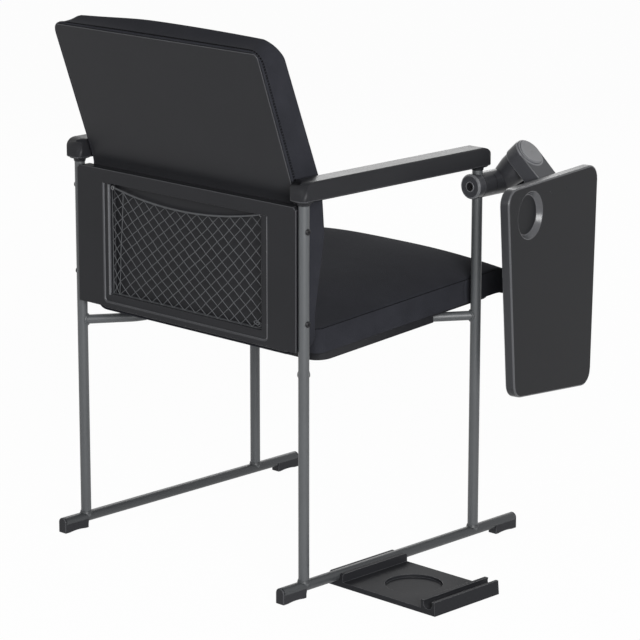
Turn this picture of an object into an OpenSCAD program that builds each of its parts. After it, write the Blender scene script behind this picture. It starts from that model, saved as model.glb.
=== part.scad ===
// Tubular visitor chair with an upholstered seat and back, a net pocket behind the back,
// a swing-away writing tablet on the sitter's right and a row link plate on the right rail.
// The sitter faces -Y, +X is the sitter's left, and the floor is z = 0.

/* [Tube frame] */
// Outside diameter of the leg and rail tubes
tube_d = 18; // [16:0.5:20]
// Wall of every tube
tube_wall = 1.5; // [1:0.25:2.5]
// Distance between the left and right leg axes
leg_span_x = 536; // [500:2:600]
// Distance between the front and rear leg axes
leg_span_y = 416; // [400:2:450]
// Height of the floor rail axis
rail_z = 18.3; // [17:0.1:24]
// Rail reach behind the rear leg axis
rail_over_rear = 52; // [44:1:80]
// Rail reach in front of the front leg axis
rail_over_front = 102; // [70:1:120]
// Radius of the weld bead between two tubes
weld_r = 2; // [1:0.25:3]

/* [Glides] */
// Length of a glide along its rail
glide_len = 54; // [40:1:60]
// Thickness of the end disc that closes the rail
glide_cap_t = 4; // [3:0.5:6]
// Length of the plug inside the rail
glide_plug_len = 16; // [10:1:24]
// Height of the shallow arch under a glide
glide_arch = 1.5; // [0.5:0.25:2.5]

/* [Seat bars] */
// Diameter of the bent bars that carry the seat
bar_d = 16; // [15:0.5:18]
// Height of the bar axis at the rear legs
bar_rear_z = 374; // [360:1:400]
// Height of the bar axis at the front legs
bar_front_z = 401; // [385:0.5:410]
// Distance from the leg axis in to the straight run of a bar
bar_inset = 75; // [65:1:90]
// Centre line radius of the bends
bar_bend_r = 60; // [40:1:70]
// Angle at which a bar leaves its leg
bar_angle = 45; // [40:1:50]

/* [Armrests] */
// Width of an armrest
arm_w = 36; // [30:1:44]
// Height of an armrest
arm_h = 32; // [30:1:46]
// Height of the underside of the armrests
arm_z = 661; // [659:1:690]
// Reach of an armrest past the leg axes
arm_over = 19; // [16:1:26]
// Radius of the upper end corners
arm_end_r = 26; // [16:1:30]
// Radius of the long upper edges
arm_edge_r = 3; // [1:0.5:6]
// Radius of the end corners seen from above
arm_plan_r = 10; // [4:0.5:12]
// Radius of the fillet boss round each leg
arm_boss_r = 8; // [5:0.5:9]
// Depth of the leg sockets above the underside
arm_socket = 22; // [14:1:28]

/* [Back shell] */
// Thickness of the shell
shell_t = 5; // [3:0.5:7]
// Lean of the upper back from upright, in degrees
back_lean = 19.5; // [14:0.5:24]
// Bend radius of the shell's rear face
shell_bend_r = 40; // [30:1:60]
// Length of the leaning part above the bend
shell_rise = 250; // [220:1:280]
// Height of the shell's lower edge
shell_bottom_z = 402; // [398:1:410]
// Radius of the upper corners
shell_top_r = 12; // [6:1:24]
// Radius of the lower corners
shell_low_r = 26; // [12:1:40]

/* [Back cushion] */
// Clearance of the cushion from each armrest
back_side_gap = 5; // [3:0.5:12]
// Reach of the cushion past the shell on each side
back_reach = 5; // [3:0.5:8]
// Reach of the cushion above the shell
back_reach_top = 4; // [3:0.5:10]
// Rise of the arched top edge at its middle
back_arch = 4; // [0:1:16]
// Thickness at the upper edge, from the shell's front face
back_t_top = 48; // [40:1:60]
// Thickness at the lumbar line
back_t_mid = 60; // [50:1:70]
// Crown in the middle of the front face
back_crown = 15; // [5:1:24]
// Corner radius seen from the front
back_corner_r = 34; // [20:1:50]
// Depth by which the side panels are drawn in
back_draw = 2.5; // [0.5:0.5:5]

/* [Seat] */
// Distance from the rear leg axis forward to the cushion's rear edge
seat_start = 57; // [55:1:70]
// Depth of the cushion from rear edge to nose
seat_depth = 484; // [450:2:510]
// Clearance of the cushion from each leg tube
seat_side_gap = 11; // [8:0.5:20]
// Height of the side panel below the top seam
seat_box_h = 43; // [34:1:50]
// Crown of the top above the seam
seat_crown = 32; // [16:1:40]
// Roll of the nose seen from the side
seat_nose_r = 48; // [40:1:70]
// Corner radius seen from above
seat_corner_r = 34; // [20:1:50]
// Depth by which the side panels are drawn in
seat_draw = 3; // [0.5:0.5:5]
// Height of the saddles between a bar and the pan
saddle_h = 4; // [3:0.5:10]
// Length of a saddle along the bar
saddle_len = 26; // [18:1:36]
// Width of a saddle
saddle_w = 30; // [26:1:36]
// Thickness of the seat pan
pan_t = 4; // [3:0.5:8]
// Amount by which the pan stays inside the cushion's outline
pan_inset = 7; // [4:0.5:12]
// Height of the skirt below the pan's upper face
skirt_h = 15; // [10:0.5:18]
// Length of the skirt along each side
skirt_len = 276; // [200:2:320]

/* [Pocket panel] */
// Height of the panel's lower edge
panel_bottom_z = 412; // [406:1:430]
// Height of the panel's upper edge
panel_top_z = 650; // [630:1:652]
// Amount by which the panel stands behind the leg tubes
panel_proud = 3; // [2:0.5:6]
// Overlap of the rear face on each leg tube
panel_lap = 3; // [1:0.5:6]
// Thickness of the rear face where it laps the legs
panel_skin = 2.7; // [2:0.1:2.9]
// Depth of the pocket behind the net
pocket_depth = 14; // [8:1:16]
// Clear width of the pocket between its side strips
pocket_w = 364; // [320:2:400]
// Width of the strips of the pocket frame
strip_w = 15; // [10:0.5:20]
// Thickness of the strips
strip_t = 4.5; // [4:0.25:6]
// Depth of the groove in which the strips lie
strip_seat = 3; // [2:0.25:3.5]
// Distance from the panel's lower edge up to the frame
strip_low = 8; // [4:0.5:14]
// Distance from the panel's upper edge down to the frame's ends
strip_high = 23; // [16:1:32]

/* [Net] */
// Width of one diamond of the net
net_pitch_x = 28; // [26:1:34]
// Height of one diamond of the net
net_pitch_z = 21; // [20:1:28]
// Width and thickness of a net strand
net_strand = 1.6; // [1.2:0.1:2]
// Sag of the elastic hem at its middle
net_sag = 20; // [10:1:30]
// Diameter of the elastic hem
hem_d = 3.4; // [2.5:0.1:4]

/* [Tablet hinge] */
// Height of the clamp axis on the right front leg
hub_z = 626; // [600:1:628]
// Radius of the clamp and of the arm
hub_r = 21.5; // [18:0.5:22]
// Distance from the leg axis back to the clamp's rear face
hub_rear = 19; // [16:0.5:24]
// Distance from the leg axis forward to the elbow
elbow_reach = 64; // [50:1:70]
// Height of the fixed boss along the swivel axis
boss_h = 45.4; // [42:0.2:50]
// Radius of the boss and of the swivel head
boss_r = 26; // [23:0.5:27]
// Thickness of the friction washer
washer_t = 1.2; // [0.8:0.1:2]
// Thickness of the swivel head
head_t = 26.4; // [22:0.2:30]
// Height of the domed shoulder under the cap
shoulder_h = 3; // [2:0.25:4]
// Radius of the grey cap
cap_r = 20.5; // [16:0.5:21]
// Height of the cap above the shoulder
cap_h = 1.4; // [1:0.1:2.5]
// Radius of the pivot pin
pin_r = 8; // [6:0.25:10]
// Turn of the hinge from the side plane, in degrees
toe = 10; // [4:1:14]
// Distance from the cap's centre out to the tablet's back face
tablet_reach = 34.6; // [30:0.2:42]

/* [Tablet] */
// Thickness of the tablet
tablet_t = 18; // [15:0.5:22]
// Length of the edge beside the hinge
tablet_top_w = 300; // [270:2:310]
// Length of the far edge
tablet_low_w = 257; // [220:1:300]
// Length of the rear edge
tablet_rear_h = 358; // [320:2:370]
// Length of the front edge
tablet_front_h = 390; // [350:2:400]
// Shift of the hinge edge towards the rear
tablet_shift = 10; // [4:1:16]
// Distance from the cap's centre down to the hinge edge
tablet_drop = 36; // [34:0.5:40]
// Corner radius
tablet_corner_r = 26; // [12:1:34]
// Radius of the round cup recess
cup_r = 40; // [34:1:44]
// Depth of the cup recess
cup_depth = 6; // [3:0.5:9]
// Distance of the recess from the hinge edge
cup_down = 52; // [46:1:60]
// Distance of the recess from the hinge axis towards the rear
cup_back = 87; // [78:1:96]

/* [Row link] */
// Distance between the rails of two linked chairs
link_pitch = 205; // [190:1:260]
// Length of the link along the rail
link_len = 157; // [130:1:190]
// Position of the link's middle in front of the rear leg axis
link_from_leg = 154; // [120:1:250]
// Thickness of the link plate
link_t = 9; // [7:0.25:9.2]
// Wall of the link's channels
link_wall = 6.5; // [5:0.25:9]
// Height of the lips above the rail axis
link_lip = 5; // [3:0.25:6]
// Radius of the round recess
dish_r = 48; // [30:1:56]
// Depth of the round recess
dish_depth = 5; // [2:0.25:6]

/* [Hidden] */
$fn = 48;
overrun = 1;
seat_gap = 0.3;
push_gap = 0.1;
run_gap = 0.05;
edge_break = 2;
elbow_swell = 0.5;
bend_swell = 0.05;
leg_x = leg_span_x / 2;
leg_y = leg_span_y / 2;
tube_r = tube_d / 2;
bar_r = bar_d / 2;
rail_rear_y = leg_y + rail_over_rear;
rail_front_y = leg_y + rail_over_front;
leg_top_z = arm_z + arm_socket - seat_gap;

// Fixings
screw_r = 2.5;
screw_head_r = 5.2;
screw_head_h = 2.6;
screw_key_r = 1.8;
screw_reach = 24;
screw_high = 39;
screw_low = 48;
bolt_r = 4;
bolt_head_r = 6.5;
bolt_head_h = 8;
bolt_key_r = 3.2;
bolt_reach = 46;
cup_screw_r = 2;
cup_screw_head_r = 4;
cup_screw_head_h = 2;
cup_screw_len = 12;

// Seat plane: u runs forward from the rear leg axis, w up from the bar axis
seat_slope = atan((bar_front_z - bar_rear_z) / leg_span_y);
bar_run = leg_span_y / cos(seat_slope);
pan_w0 = bar_r + saddle_h;
cushion_w0 = pan_w0 + pan_t;
seat_hw = leg_x - tube_r - seat_side_gap;
pan_hw = seat_hw - pan_inset;

// Panel and shell planes
panel_rear_y = leg_y + tube_r + panel_proud;
panel_front_y = leg_y - tube_r - seat_gap;
panel_core_x = leg_x - tube_r - seat_gap;
panel_edge_x = leg_x - tube_r + panel_lap;
shell_w = leg_span_x - arm_w - 2 * (back_reach + back_side_gap);
shell_y = panel_front_y;
shell_bend_z = panel_top_z + seat_gap;
shell_arc = shell_bend_r * back_lean * PI / 180;
shell_top_s = shell_arc + shell_rise;

// Swivel axis
hinge_tilt = 45;
head_base = boss_h + washer_t;
head_top = head_base + head_t;
cap_face = head_top + shoulder_h + cap_h;
tablet_back_x = cap_face * sin(hinge_tilt) + tablet_reach;
tablet_top_z = cap_face * cos(hinge_tilt) - tablet_drop;
elbow_y = -leg_y - elbow_reach;

// Row link
link_y = leg_y - link_from_leg;
channel_r = tube_r + push_gap;

// Middle of the footprint, which the finished chair is centred on
foot_x_max = leg_x + arm_w / 2;
foot_x_min = -leg_x - link_pitch - tube_r - push_gap - link_wall;
foot_y_max = shell_y + shell_bend_r * (1 - cos(back_lean)) + shell_rise * sin(back_lean)
    + back_reach_top * sin(back_lean);
foot_y_min = elbow_y - cos(toe) * (tablet_top_w / 2 - tablet_shift)
    - sin(toe) * (tablet_back_x + tablet_t);
datum = [-(foot_x_max + foot_x_min) / 2, -(foot_y_max + foot_y_min) / 2, 0];

frame_colour = [0.30, 0.32, 0.33];
plastic_colour = [0.20, 0.20, 0.21];
fabric_colour = [0.15, 0.15, 0.18];
net_colour = [0.36, 0.37, 0.39];
cap_colour = [0.54, 0.54, 0.55];
steel_colour = [0.42, 0.43, 0.44];

// Plain shapes

module soft_rect(size, r) {
    // Rectangle from the origin with four round corners
    translate([r, 0]) square([size.x - 2 * r, size.y]);
    translate([0, r]) square([size.x, size.y - 2 * r]);
    for (x = [r, size.x - r], y = [r, size.y - r]) {
        translate([x, y]) circle(r);
    }
}

module side_cut(width) {
    // A profile drawn in Y and Z, extruded across the chair
    rotate([90, 0, 90]) translate([0, 0, -width / 2]) linear_extrude(width) children();
}

module front_cut(depth) {
    // A profile drawn in X and Z, extruded from front to back
    rotate([90, 0, 0]) translate([0, 0, -depth / 2]) linear_extrude(depth) children();
}

module along_y(length) {
    // Whatever is drawn along +Z lies along +Y instead, from -length/2
    translate([0, -length / 2, 0]) rotate([-90, 0, 0]) children();
}

module chamfered(r, h, cut) {
    // Upright cylinder whose upper edge is broken
    cylinder(h = h - cut, r = r);
    translate([0, 0, h - cut]) cylinder(h = cut, r1 = r, r2 = r - cut);
}

// Tube frame

module leg(side, end) {
    difference() {
        translate([side * leg_x, end * leg_y, rail_z]) cylinder(h = leg_top_z - rail_z, r = tube_r);
        translate([side * leg_x, end * leg_y, rail_z + tube_d]) {
            cylinder(h = leg_top_z, r = tube_r - tube_wall);
        }
        translate([side * leg_x, end * leg_y, rail_z]) along_y(2 * tube_d) cylinder(h = 2 * tube_d, r = tube_r);
        if (end > 0) {
            for (z = [panel_top_z - screw_high, panel_bottom_z + screw_low]) {
                translate([side * leg_x - tube_d, leg_y, z]) rotate([0, 90, 0]) {
                    cylinder(h = 2 * tube_d, r = screw_r + run_gap);
                }
            }
        }
        if (end < 0 && side < 0) {
            translate([side * leg_x, end * leg_y, hub_z]) along_y(2 * tube_d) {
                cylinder(h = 2 * tube_d, r = bolt_r + run_gap);
            }
        }
    }
}

module leg_node(side, end) {
    color(frame_colour) leg(side, end);
}

module rail_tube(side) {
    length = rail_rear_y + rail_front_y;
    mid = (rail_rear_y - rail_front_y) / 2;
    color(frame_colour) {
        difference() {
            union() {
                translate([side * leg_x, mid, rail_z]) along_y(length) cylinder(h = length, r = tube_r);
                for (end = [-1, 1]) {
                    // Weld bead round the foot of each leg
                    translate([side * leg_x, end * leg_y, rail_z + tube_r - weld_r]) {
                        cylinder(h = 2 * weld_r, r1 = tube_r + weld_r, r2 = tube_r + weld_r / 2);
                    }
                }
            }
            translate([side * leg_x, mid, rail_z]) along_y(length + overrun) {
                cylinder(h = length + overrun, r = tube_r - tube_wall);
            }
            for (end = [-1, 1]) {
                translate([side * leg_x, end * leg_y, rail_z]) {
                    intersection() {
                        cylinder(h = tube_d, r = tube_r);
                        difference() {
                            cylinder(h = tube_d, r = tube_d);
                            along_y(2 * tube_d) cylinder(h = 2 * tube_d, r = tube_r);
                        }
                    }
                }
            }
        }
    }
}

module glide(side, end) {
    // Moulded glide under the rail's end, with a disc and a plug that close the tube
    tip = end > 0 ? rail_rear_y : rail_front_y;
    arch_r = (pow(glide_len / 3, 2) + pow(glide_arch, 2)) / (2 * glide_arch);
    block = glide_len - glide_cap_t;
    color(plastic_colour) translate([side * leg_x, end * tip, 0]) mirror([0, end < 0 ? 1 : 0, 0]) {
        difference() {
            union() {
                translate([-tube_r, -block, 0]) cube([tube_d, block + glide_cap_t, rail_z]);
                translate([0, glide_cap_t / 2, rail_z]) along_y(glide_cap_t) {
                    cylinder(h = glide_cap_t, r = tube_r);
                }
            }
            translate([0, -block / 2, rail_z]) along_y(block + 2 * overrun) {
                cylinder(h = block + overrun, r = tube_r + push_gap);
            }
            translate([0, -block / 2, glide_arch - arch_r]) rotate([0, 90, 0]) {
                cylinder(h = tube_d + overrun, r = arch_r, center = true, $fn = 96);
            }
        }
        translate([0, -glide_plug_len / 2 + glide_cap_t / 2, rail_z]) {
            along_y(glide_plug_len + glide_cap_t) {
                cylinder(h = glide_plug_len + glide_cap_t, r = tube_r - tube_wall - push_gap);
            }
        }
    }
}

// Seat bars: straight run under the pan, a bend and a splayed end at each leg

function bar_splay() = (bar_inset - bar_bend_r * (1 - cos(bar_angle))) / sin(bar_angle);
function bar_straight() = bar_run - 2 * (bar_splay() * cos(bar_angle) + bar_bend_r * sin(bar_angle));

module seat_plane() {
    // x across, -y forward from the rear leg axis, z up from the bar axis
    translate([0, leg_y, bar_rear_z]) rotate([-seat_slope, 0, 0]) children();
}

module bar_bend(r) {
    // From the straight run's end to one leg, leaning out towards +x, a little fuller in the arc
    translate([0, bar_straight() / 2, 0]) {
        translate([bar_bend_r, 0, 0]) rotate([0, 0, 180 - bar_angle]) {
            rotate_extrude(angle = bar_angle) translate([bar_bend_r, 0]) circle(r + bend_swell);
        }
        translate([bar_bend_r * (1 - cos(bar_angle)), bar_bend_r * sin(bar_angle), 0]) {
            rotate([-90, 0, -bar_angle]) cylinder(h = bar_splay(), r = r);
        }
    }
}

module bent_bar(side, r) {
    seat_plane() mirror([side < 0 ? 1 : 0, 0, 0]) translate([leg_x - bar_inset, -bar_run / 2, 0]) {
        along_y(bar_straight()) cylinder(h = bar_straight(), r = r);
        bar_bend(r);
        mirror([0, 1, 0]) bar_bend(r);
    }
}

module seat_bar(side) {
    color(frame_colour) difference() {
        bent_bar(side, bar_r);
        bent_bar(side, bar_r - tube_wall);
        for (end = [-1, 1]) {
            translate([side * leg_x, end * leg_y, 0]) cylinder(h = arm_z, r = tube_r);
        }
    }
}

module saddle_places() {
    // Two saddles on each straight run
    for (side = [-1, 1], end = [-1, 1]) {
        seat_plane() translate([
            side * (leg_x - bar_inset),
            -bar_run / 2 + end * (bar_straight() / 2 - saddle_len),
            0
        ]) {
            children();
        }
    }
}

module seat_saddles() {
    color(plastic_colour) saddle_places() {
        difference() {
            translate([-saddle_w / 2, -saddle_len / 2, -bar_r - saddle_h / 2]) {
                cube([saddle_w, saddle_len, bar_d + saddle_h * 3 / 2]);
            }
            along_y(saddle_len + overrun) cylinder(h = saddle_len + overrun, r = bar_r + push_gap);
            for (x = [-1, 1]) {
                translate([x * (saddle_w / 2 - screw_r), 0, -bar_r - saddle_h]) {
                    cylinder(h = bar_d + saddle_h * 3, r = screw_r / 2 + run_gap);
                }
            }
        }
    }
}

module saddle_screws() {
    color(steel_colour) saddle_places() {
        for (x = [-1, 1]) {
            translate([x * (saddle_w / 2 - screw_r), 0, -bar_r - saddle_h / 2]) {
                cylinder(h = bar_d + saddle_h * 3 / 2 + pan_t / 2, r = screw_r / 2);
                translate([0, 0, -screw_head_h / 2]) cylinder(h = screw_head_h / 2, r = screw_r);
            }
        }
    }
}

// Armrests

module armrest(side) {
    length = leg_span_y + 2 * arm_over;
    color(plastic_colour) difference() {
        union() {
            translate([side * leg_x, 0, arm_z]) intersection() {
                side_cut(arm_w) translate([-length / 2, 0]) {
                    square([length, arm_h - arm_end_r]);
                    translate([arm_end_r, 0]) square([length - 2 * arm_end_r, arm_h]);
                    for (y = [arm_end_r, length - arm_end_r]) {
                        translate([y, arm_h - arm_end_r]) circle(arm_end_r);
                    }
                }
                front_cut(length) translate([-arm_w / 2, 0]) {
                    square([arm_w, arm_h - arm_edge_r]);
                    translate([arm_edge_r, 0]) square([arm_w - 2 * arm_edge_r, arm_h]);
                    for (x = [arm_edge_r, arm_w - arm_edge_r]) {
                        translate([x, arm_h - arm_edge_r]) circle(arm_edge_r);
                    }
                }
                translate([-arm_w / 2, -length / 2, 0]) linear_extrude(arm_h) {
                    soft_rect([arm_w, length], arm_plan_r);
                }
            }
            for (end = [-1, 1]) {
                translate([side * leg_x, end * leg_y, arm_z - arm_boss_r]) arm_boss();
            }
        }
        for (end = [-1, 1]) {
            translate([side * leg_x, end * leg_y, arm_z - arm_boss_r - overrun]) {
                cylinder(h = arm_boss_r + arm_socket + overrun, r = tube_r + push_gap);
            }
        }
    }
}

module arm_boss() {
    // Collar with a concave fillet up to the armrest's underside
    rotate_extrude() difference() {
        square([tube_r + arm_boss_r, arm_boss_r + overrun]);
        translate([tube_r + arm_boss_r + overrun, 0]) circle(arm_boss_r);
    }
}

// Cushions: a grid of columns and rows for the crowned front face, the same grid for the
// flat rear face, and rings of side panel between the two outlines

function corner_inset(r, d) = d >= r ? 0 : r - sqrt(max(0, r * r - pow(r - d, 2)));
function outline_half(hw, s, s0, s1, r0, r1) =
    hw - max(corner_inset(r0, s - s0), corner_inset(r1, s1 - s));
function columns(nx) = [for (j = [0:nx]) sin(90 * (2 * j / nx - 1))];
function blend(a, b, t) = a + (b - a) * t;
function ease(t) = (1 - cos(180 * max(0, min(1, t)))) / 2;
function crown_share(a, b) = (1 - pow(abs(a), 3)) * (1 - pow(abs(b), 4));
function edge_path(nx, ns) = concat(
    [for (j = [0:nx]) j],
    [for (i = [1:ns]) i * (nx + 1) + nx],
    [for (j = [nx - 1:-1:0]) ns * (nx + 1) + j],
    [for (i = [ns - 1:-1:1]) i * (nx + 1)]
);
function grid_faces(nx, ns, start, turned) = [
    for (i = [0:ns - 1], j = [0:nx - 1], half = [0, 1])
        let (a = start + i * (nx + 1) + j, b = a + 1, c = a + nx + 1, d = c + 1)
        let (f = half == 0 ? [a, b, d] : [a, d, c])
        turned ? [f[2], f[1], f[0]] : f
];
function ring_faces(one, two) = [
    for (k = [0:len(one) - 1], half = [0, 1])
        let (m = (k + 1) % len(one))
        half == 0 ? [one[k], one[m], two[m]] : [one[k], two[m], two[k]]
];

module pillow(front, rear, rings, nx, ns, place) {
    // front and rear are grids of [x, s, n]; rings are the side panel's loops from front to
    // rear; place turns [x, s, n] into a point of the chair
    path = edge_path(nx, ns);
    count = len(front);
    loop = len(path);
    ring_ids = [for (r = [0:len(rings) - 1]) [for (k = [0:loop - 1]) 2 * count + r * loop + k]];
    loops = concat([path], ring_ids, [[for (k = path) k + count]]);
    polyhedron(
        points = [for (p = concat(front, rear, [for (r = rings) each r])) place(p)],
        faces = concat(
            grid_faces(nx, ns, 0, true),
            grid_faces(nx, ns, count, false),
            [for (k = [0:len(loops) - 2]) each ring_faces(loops[k], loops[k + 1])]
        ),
        convexity = 6
    );
}

// Seat

seat_end = seat_start + seat_depth;
seat_columns = 12;
seat_rows = concat(
    [for (a = [0:30:90]) seat_start + seat_corner_r * (1 - cos(a))],
    [for (k = [1:7]) blend(seat_start + seat_corner_r, seat_end - seat_nose_r, k / 8)],
    [for (a = [0:22.5:90]) seat_end - seat_nose_r * (1 - sin(a))]
);
nose_fall_share = 0.6;
nose_drop_share = 0.35;
nose_bulge_share = 0.1;

function nose_part(s) = max(0, s - seat_end + seat_nose_r) / seat_nose_r;
function seat_top(a, s) =
    cushion_w0 + seat_box_h
    + seat_crown * crown_share(a, 2 * (s - seat_start) / seat_depth - 1)
    - seat_box_h * nose_fall_share * (1 - sqrt(max(0, 1 - pow(nose_part(s), 2))));
function seat_low(s) = cushion_w0 - seat_box_h * nose_drop_share * pow(nose_part(s), 2);
function seat_grid(low) = [
    for (s = seat_rows, a = columns(seat_columns))
        let (hw = outline_half(seat_hw, s, seat_start, seat_end, seat_corner_r, seat_corner_r))
        [hw * a, s, low ? seat_low(s) : seat_top(a, s)]
];
function seat_ring(top, low, t) = [
    for (k = edge_path(seat_columns, len(seat_rows) - 1))
        let (p = blend(top[k], low[k], t), q = nose_part(p[1]))
        let (draw = (seat_draw * (1 - q) - seat_box_h * nose_bulge_share * q) * sin(180 * t))
        let (mid = seat_start + seat_depth / 2)
        [p[0] * (1 - draw / seat_hw), mid + (p[1] - mid) * (1 - 2 * draw / seat_depth), p[2]]
];

module seat_cushion() {
    top = seat_grid(false);
    low = seat_grid(true);
    color(fabric_colour) seat_plane() pillow(
        top, low, [for (t = [0.25, 0.5, 0.75]) seat_ring(top, low, t)],
        seat_columns, len(seat_rows) - 1, function(p) [-p[0], -p[1], p[2] + seat_gap]
    );
}

module pan_outline(inset) {
    length = seat_depth - pan_inset - seat_nose_r;
    translate([-pan_hw + inset, -seat_start - pan_inset - length + inset]) {
        soft_rect([2 * (pan_hw - inset), length - 2 * inset], seat_corner_r - pan_inset - inset);
    }
}

module seat_pan() {
    // Moulded pan under the cushion, with a skirt round its rear and along its sides
    color(plastic_colour) difference() {
        seat_plane() {
            translate([0, 0, pan_w0]) linear_extrude(pan_t) pan_outline(0);
            translate([0, 0, cushion_w0 - skirt_h]) linear_extrude(skirt_h - pan_t / 2) {
                intersection() {
                    difference() {
                        pan_outline(0);
                        pan_outline(pan_t / 2);
                    }
                    translate([-seat_hw, -seat_start - pan_inset - skirt_len]) {
                        square([2 * seat_hw, skirt_len]);
                    }
                }
            }
        }
        for (side = [-1, 1]) bent_bar(side, bar_r + seat_gap);
        saddle_places() for (x = [-1, 1]) {
            translate([x * (saddle_w / 2 - screw_r), 0, pan_w0 - overrun]) {
                cylinder(h = pan_t / 2 + overrun, r = screw_r / 2 + run_gap);
            }
        }
    }
}

// Back

function shell_place(p) =
    // [x, s, n] with s up the rear face from the foot of the bend and n forward from it
    let (turn = p[1] <= 0 ? 0 : p[1] >= shell_arc ? back_lean : back_lean * p[1] / shell_arc)
    let (up = p[1] <= 0 ? p[1] : shell_bend_r * sin(turn) + max(0, p[1] - shell_arc) * cos(turn))
    let (back = p[1] <= 0 ? 0 : shell_bend_r * (1 - cos(turn)) + max(0, p[1] - shell_arc) * sin(turn))
    [p[0], shell_y + back - p[2] * cos(turn), shell_bend_z + up + p[2] * sin(turn)];

module back_shell() {
    low = shell_bend_z - shell_bottom_z;
    tip = shell_place([0, shell_top_s, shell_t]);
    color(plastic_colour) intersection() {
        side_cut(shell_w) {
            translate([shell_y - shell_t, shell_bottom_z]) square([shell_t, low]);
            translate([shell_y + shell_bend_r, shell_bend_z]) {
                difference() {
                    circle(shell_bend_r + shell_t, $fn = 96);
                    circle(shell_bend_r, $fn = 96);
                    translate([-2 * shell_bend_r, -2 * shell_bend_r]) {
                        square([4 * shell_bend_r, 2 * shell_bend_r]);
                    }
                    rotate(-back_lean) translate([-2 * shell_bend_r, 0]) {
                        square([4 * shell_bend_r, 2 * shell_bend_r]);
                    }
                }
                rotate(-back_lean) translate([-shell_bend_r - shell_t, 0]) {
                    square([shell_t, shell_rise]);
                }
            }
        }
        translate([-shell_w / 2, shell_y + shell_rise, shell_bottom_z]) rotate([90, 0, 0]) {
            linear_extrude(2 * shell_rise) shell_outline(tip[2] + seat_gap - shell_bottom_z);
        }
    }
}

module shell_outline(height) {
    translate([shell_low_r, 0]) square([shell_w - 2 * shell_low_r, height / 2]);
    translate([0, shell_low_r]) square([shell_w, height - shell_low_r - shell_top_r]);
    translate([shell_top_r, height / 2]) square([shell_w - 2 * shell_top_r, height / 2]);
    for (x = [shell_low_r, shell_w - shell_low_r]) translate([x, shell_low_r]) circle(shell_low_r);
    for (x = [shell_top_r, shell_w - shell_top_r]) {
        translate([x, height - shell_top_r]) circle(shell_top_r);
    }
}

back_columns = 12;
back_lip_share = 0.8;
lumbar_share = 0.33;
hollow_share = 0.4;
back_low_s = shell_bottom_z - back_reach - shell_bend_z;
back_top_s = shell_top_s + back_reach_top;
seat_meets_z = bar_rear_z + cushion_w0 + seat_box_h + seat_crown;
seat_rear_y = leg_y - seat_start * cos(seat_slope) + (cushion_w0 + seat_box_h) * sin(seat_slope);
back_t_low = shell_y - shell_t - seat_rear_y - 2 * seat_gap;
back_rows = concat(
    [for (a = [0:30:90]) back_low_s + back_corner_r * (1 - cos(a))],
    [for (k = [1:6]) blend(back_low_s + back_corner_r, 0, k / 6)],
    [shell_arc / 2, shell_arc],
    [for (k = [1:5]) blend(shell_arc, back_top_s - back_corner_r, k / 6)],
    [for (a = [0:22.5:90]) back_top_s - back_corner_r * (1 - sin(a))]
);
back_t_table = [
    [back_low_s, back_t_low],
    [seat_meets_z - shell_bend_z, back_t_low],
    [(seat_meets_z - shell_bend_z) * lumbar_share, back_t_mid],
    [shell_arc, blend(back_t_mid, back_t_top, 1 / 2)],
    [back_top_s - back_corner_r, back_t_top],
    [back_top_s, back_t_top * back_lip_share]
];

function back_front_grid() = [
    for (s = back_rows, a = columns(back_columns))
        let (hw = outline_half(shell_w / 2 + back_reach, s, back_low_s, back_top_s,
            back_corner_r, back_corner_r))
        let (t = (s - back_low_s) / (back_top_s - back_low_s))
        let (arch = back_arch * ease(4 * t - 3) * (1 - a * a))
        let (crown = back_crown * crown_share(a, 2 * t - 1) * ease(3 * t - 1 / 2))
        [hw * a, s + arch, shell_t + lookup(s, back_t_table) + crown]
];
function back_rear_grid(n, grow, low_r, top_r) = [
    for (s = back_rows, a = columns(back_columns))
        let (low = shell_bottom_z - shell_bend_z - grow, high = shell_top_s + grow)
        let (t = (s - back_low_s) / (back_top_s - back_low_s))
        let (v = s < 0 ? low * s / back_low_s : s <= shell_arc ? s
            : blend(shell_arc, high, (s - shell_arc) / (back_top_s - shell_arc)))
        let (hw = outline_half(shell_w / 2 + grow, v, low, high, low_r, top_r))
        [hw * a, v, n]
];
function back_ring(one, two, t) = [
    for (k = edge_path(back_columns, len(back_rows) - 1))
        let (p = blend(one[k], two[k], t), draw = back_draw * sin(180 * t))
        let (mid = (back_low_s + back_top_s) / 2)
        [
            p[0] * (1 - 2 * draw / shell_w),
            mid + (p[1] - mid) * (1 - 2 * draw / (back_top_s - back_low_s)),
            p[2]
        ]
];

module back_cushion() {
    // The side panel runs back round the shell's edge, and the rear face lies on the shell.
    // The hollow's corners are tighter than the shell's, so that flat facets clear them
    path = edge_path(back_columns, len(back_rows) - 1);
    front = back_front_grid();
    hollow_low_r = shell_low_r * hollow_share;
    hollow_top_r = shell_top_r * hollow_share;
    edge = back_rear_grid(seat_gap, back_reach - seat_gap, shell_low_r + back_reach, shell_top_r + back_reach);
    inner = back_rear_grid(seat_gap, seat_gap, hollow_low_r, hollow_top_r);
    rear = back_rear_grid(shell_t + seat_gap, seat_gap, hollow_low_r, hollow_top_r);
    color(fabric_colour) pillow(
        front, rear,
        concat(
            [for (t = [0.3, 0.6]) back_ring(front, edge, t)],
            [[for (k = path) edge[k]], [for (k = path) inner[k]]]
        ),
        back_columns, len(back_rows) - 1, function(p) shell_place(p)
    );
}

// Pocket panel

module panel_face(width, y0, y1) {
    height = panel_top_z - panel_bottom_z;
    translate([-width / 2, y1, panel_bottom_z]) rotate([90, 0, 0]) linear_extrude(y1 - y0) {
        difference() {
            square([width, height]);
            for (x = [0, width]) {
                translate([x, height]) rotate(45) {
                    square(panel_skin * 3, center = true);
                }
            }
        }
    }
}

strip_bottom_z = panel_bottom_z + strip_low;
strip_top_z = panel_top_z - strip_high;
net_floor_z = strip_bottom_z + strip_w;

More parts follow.
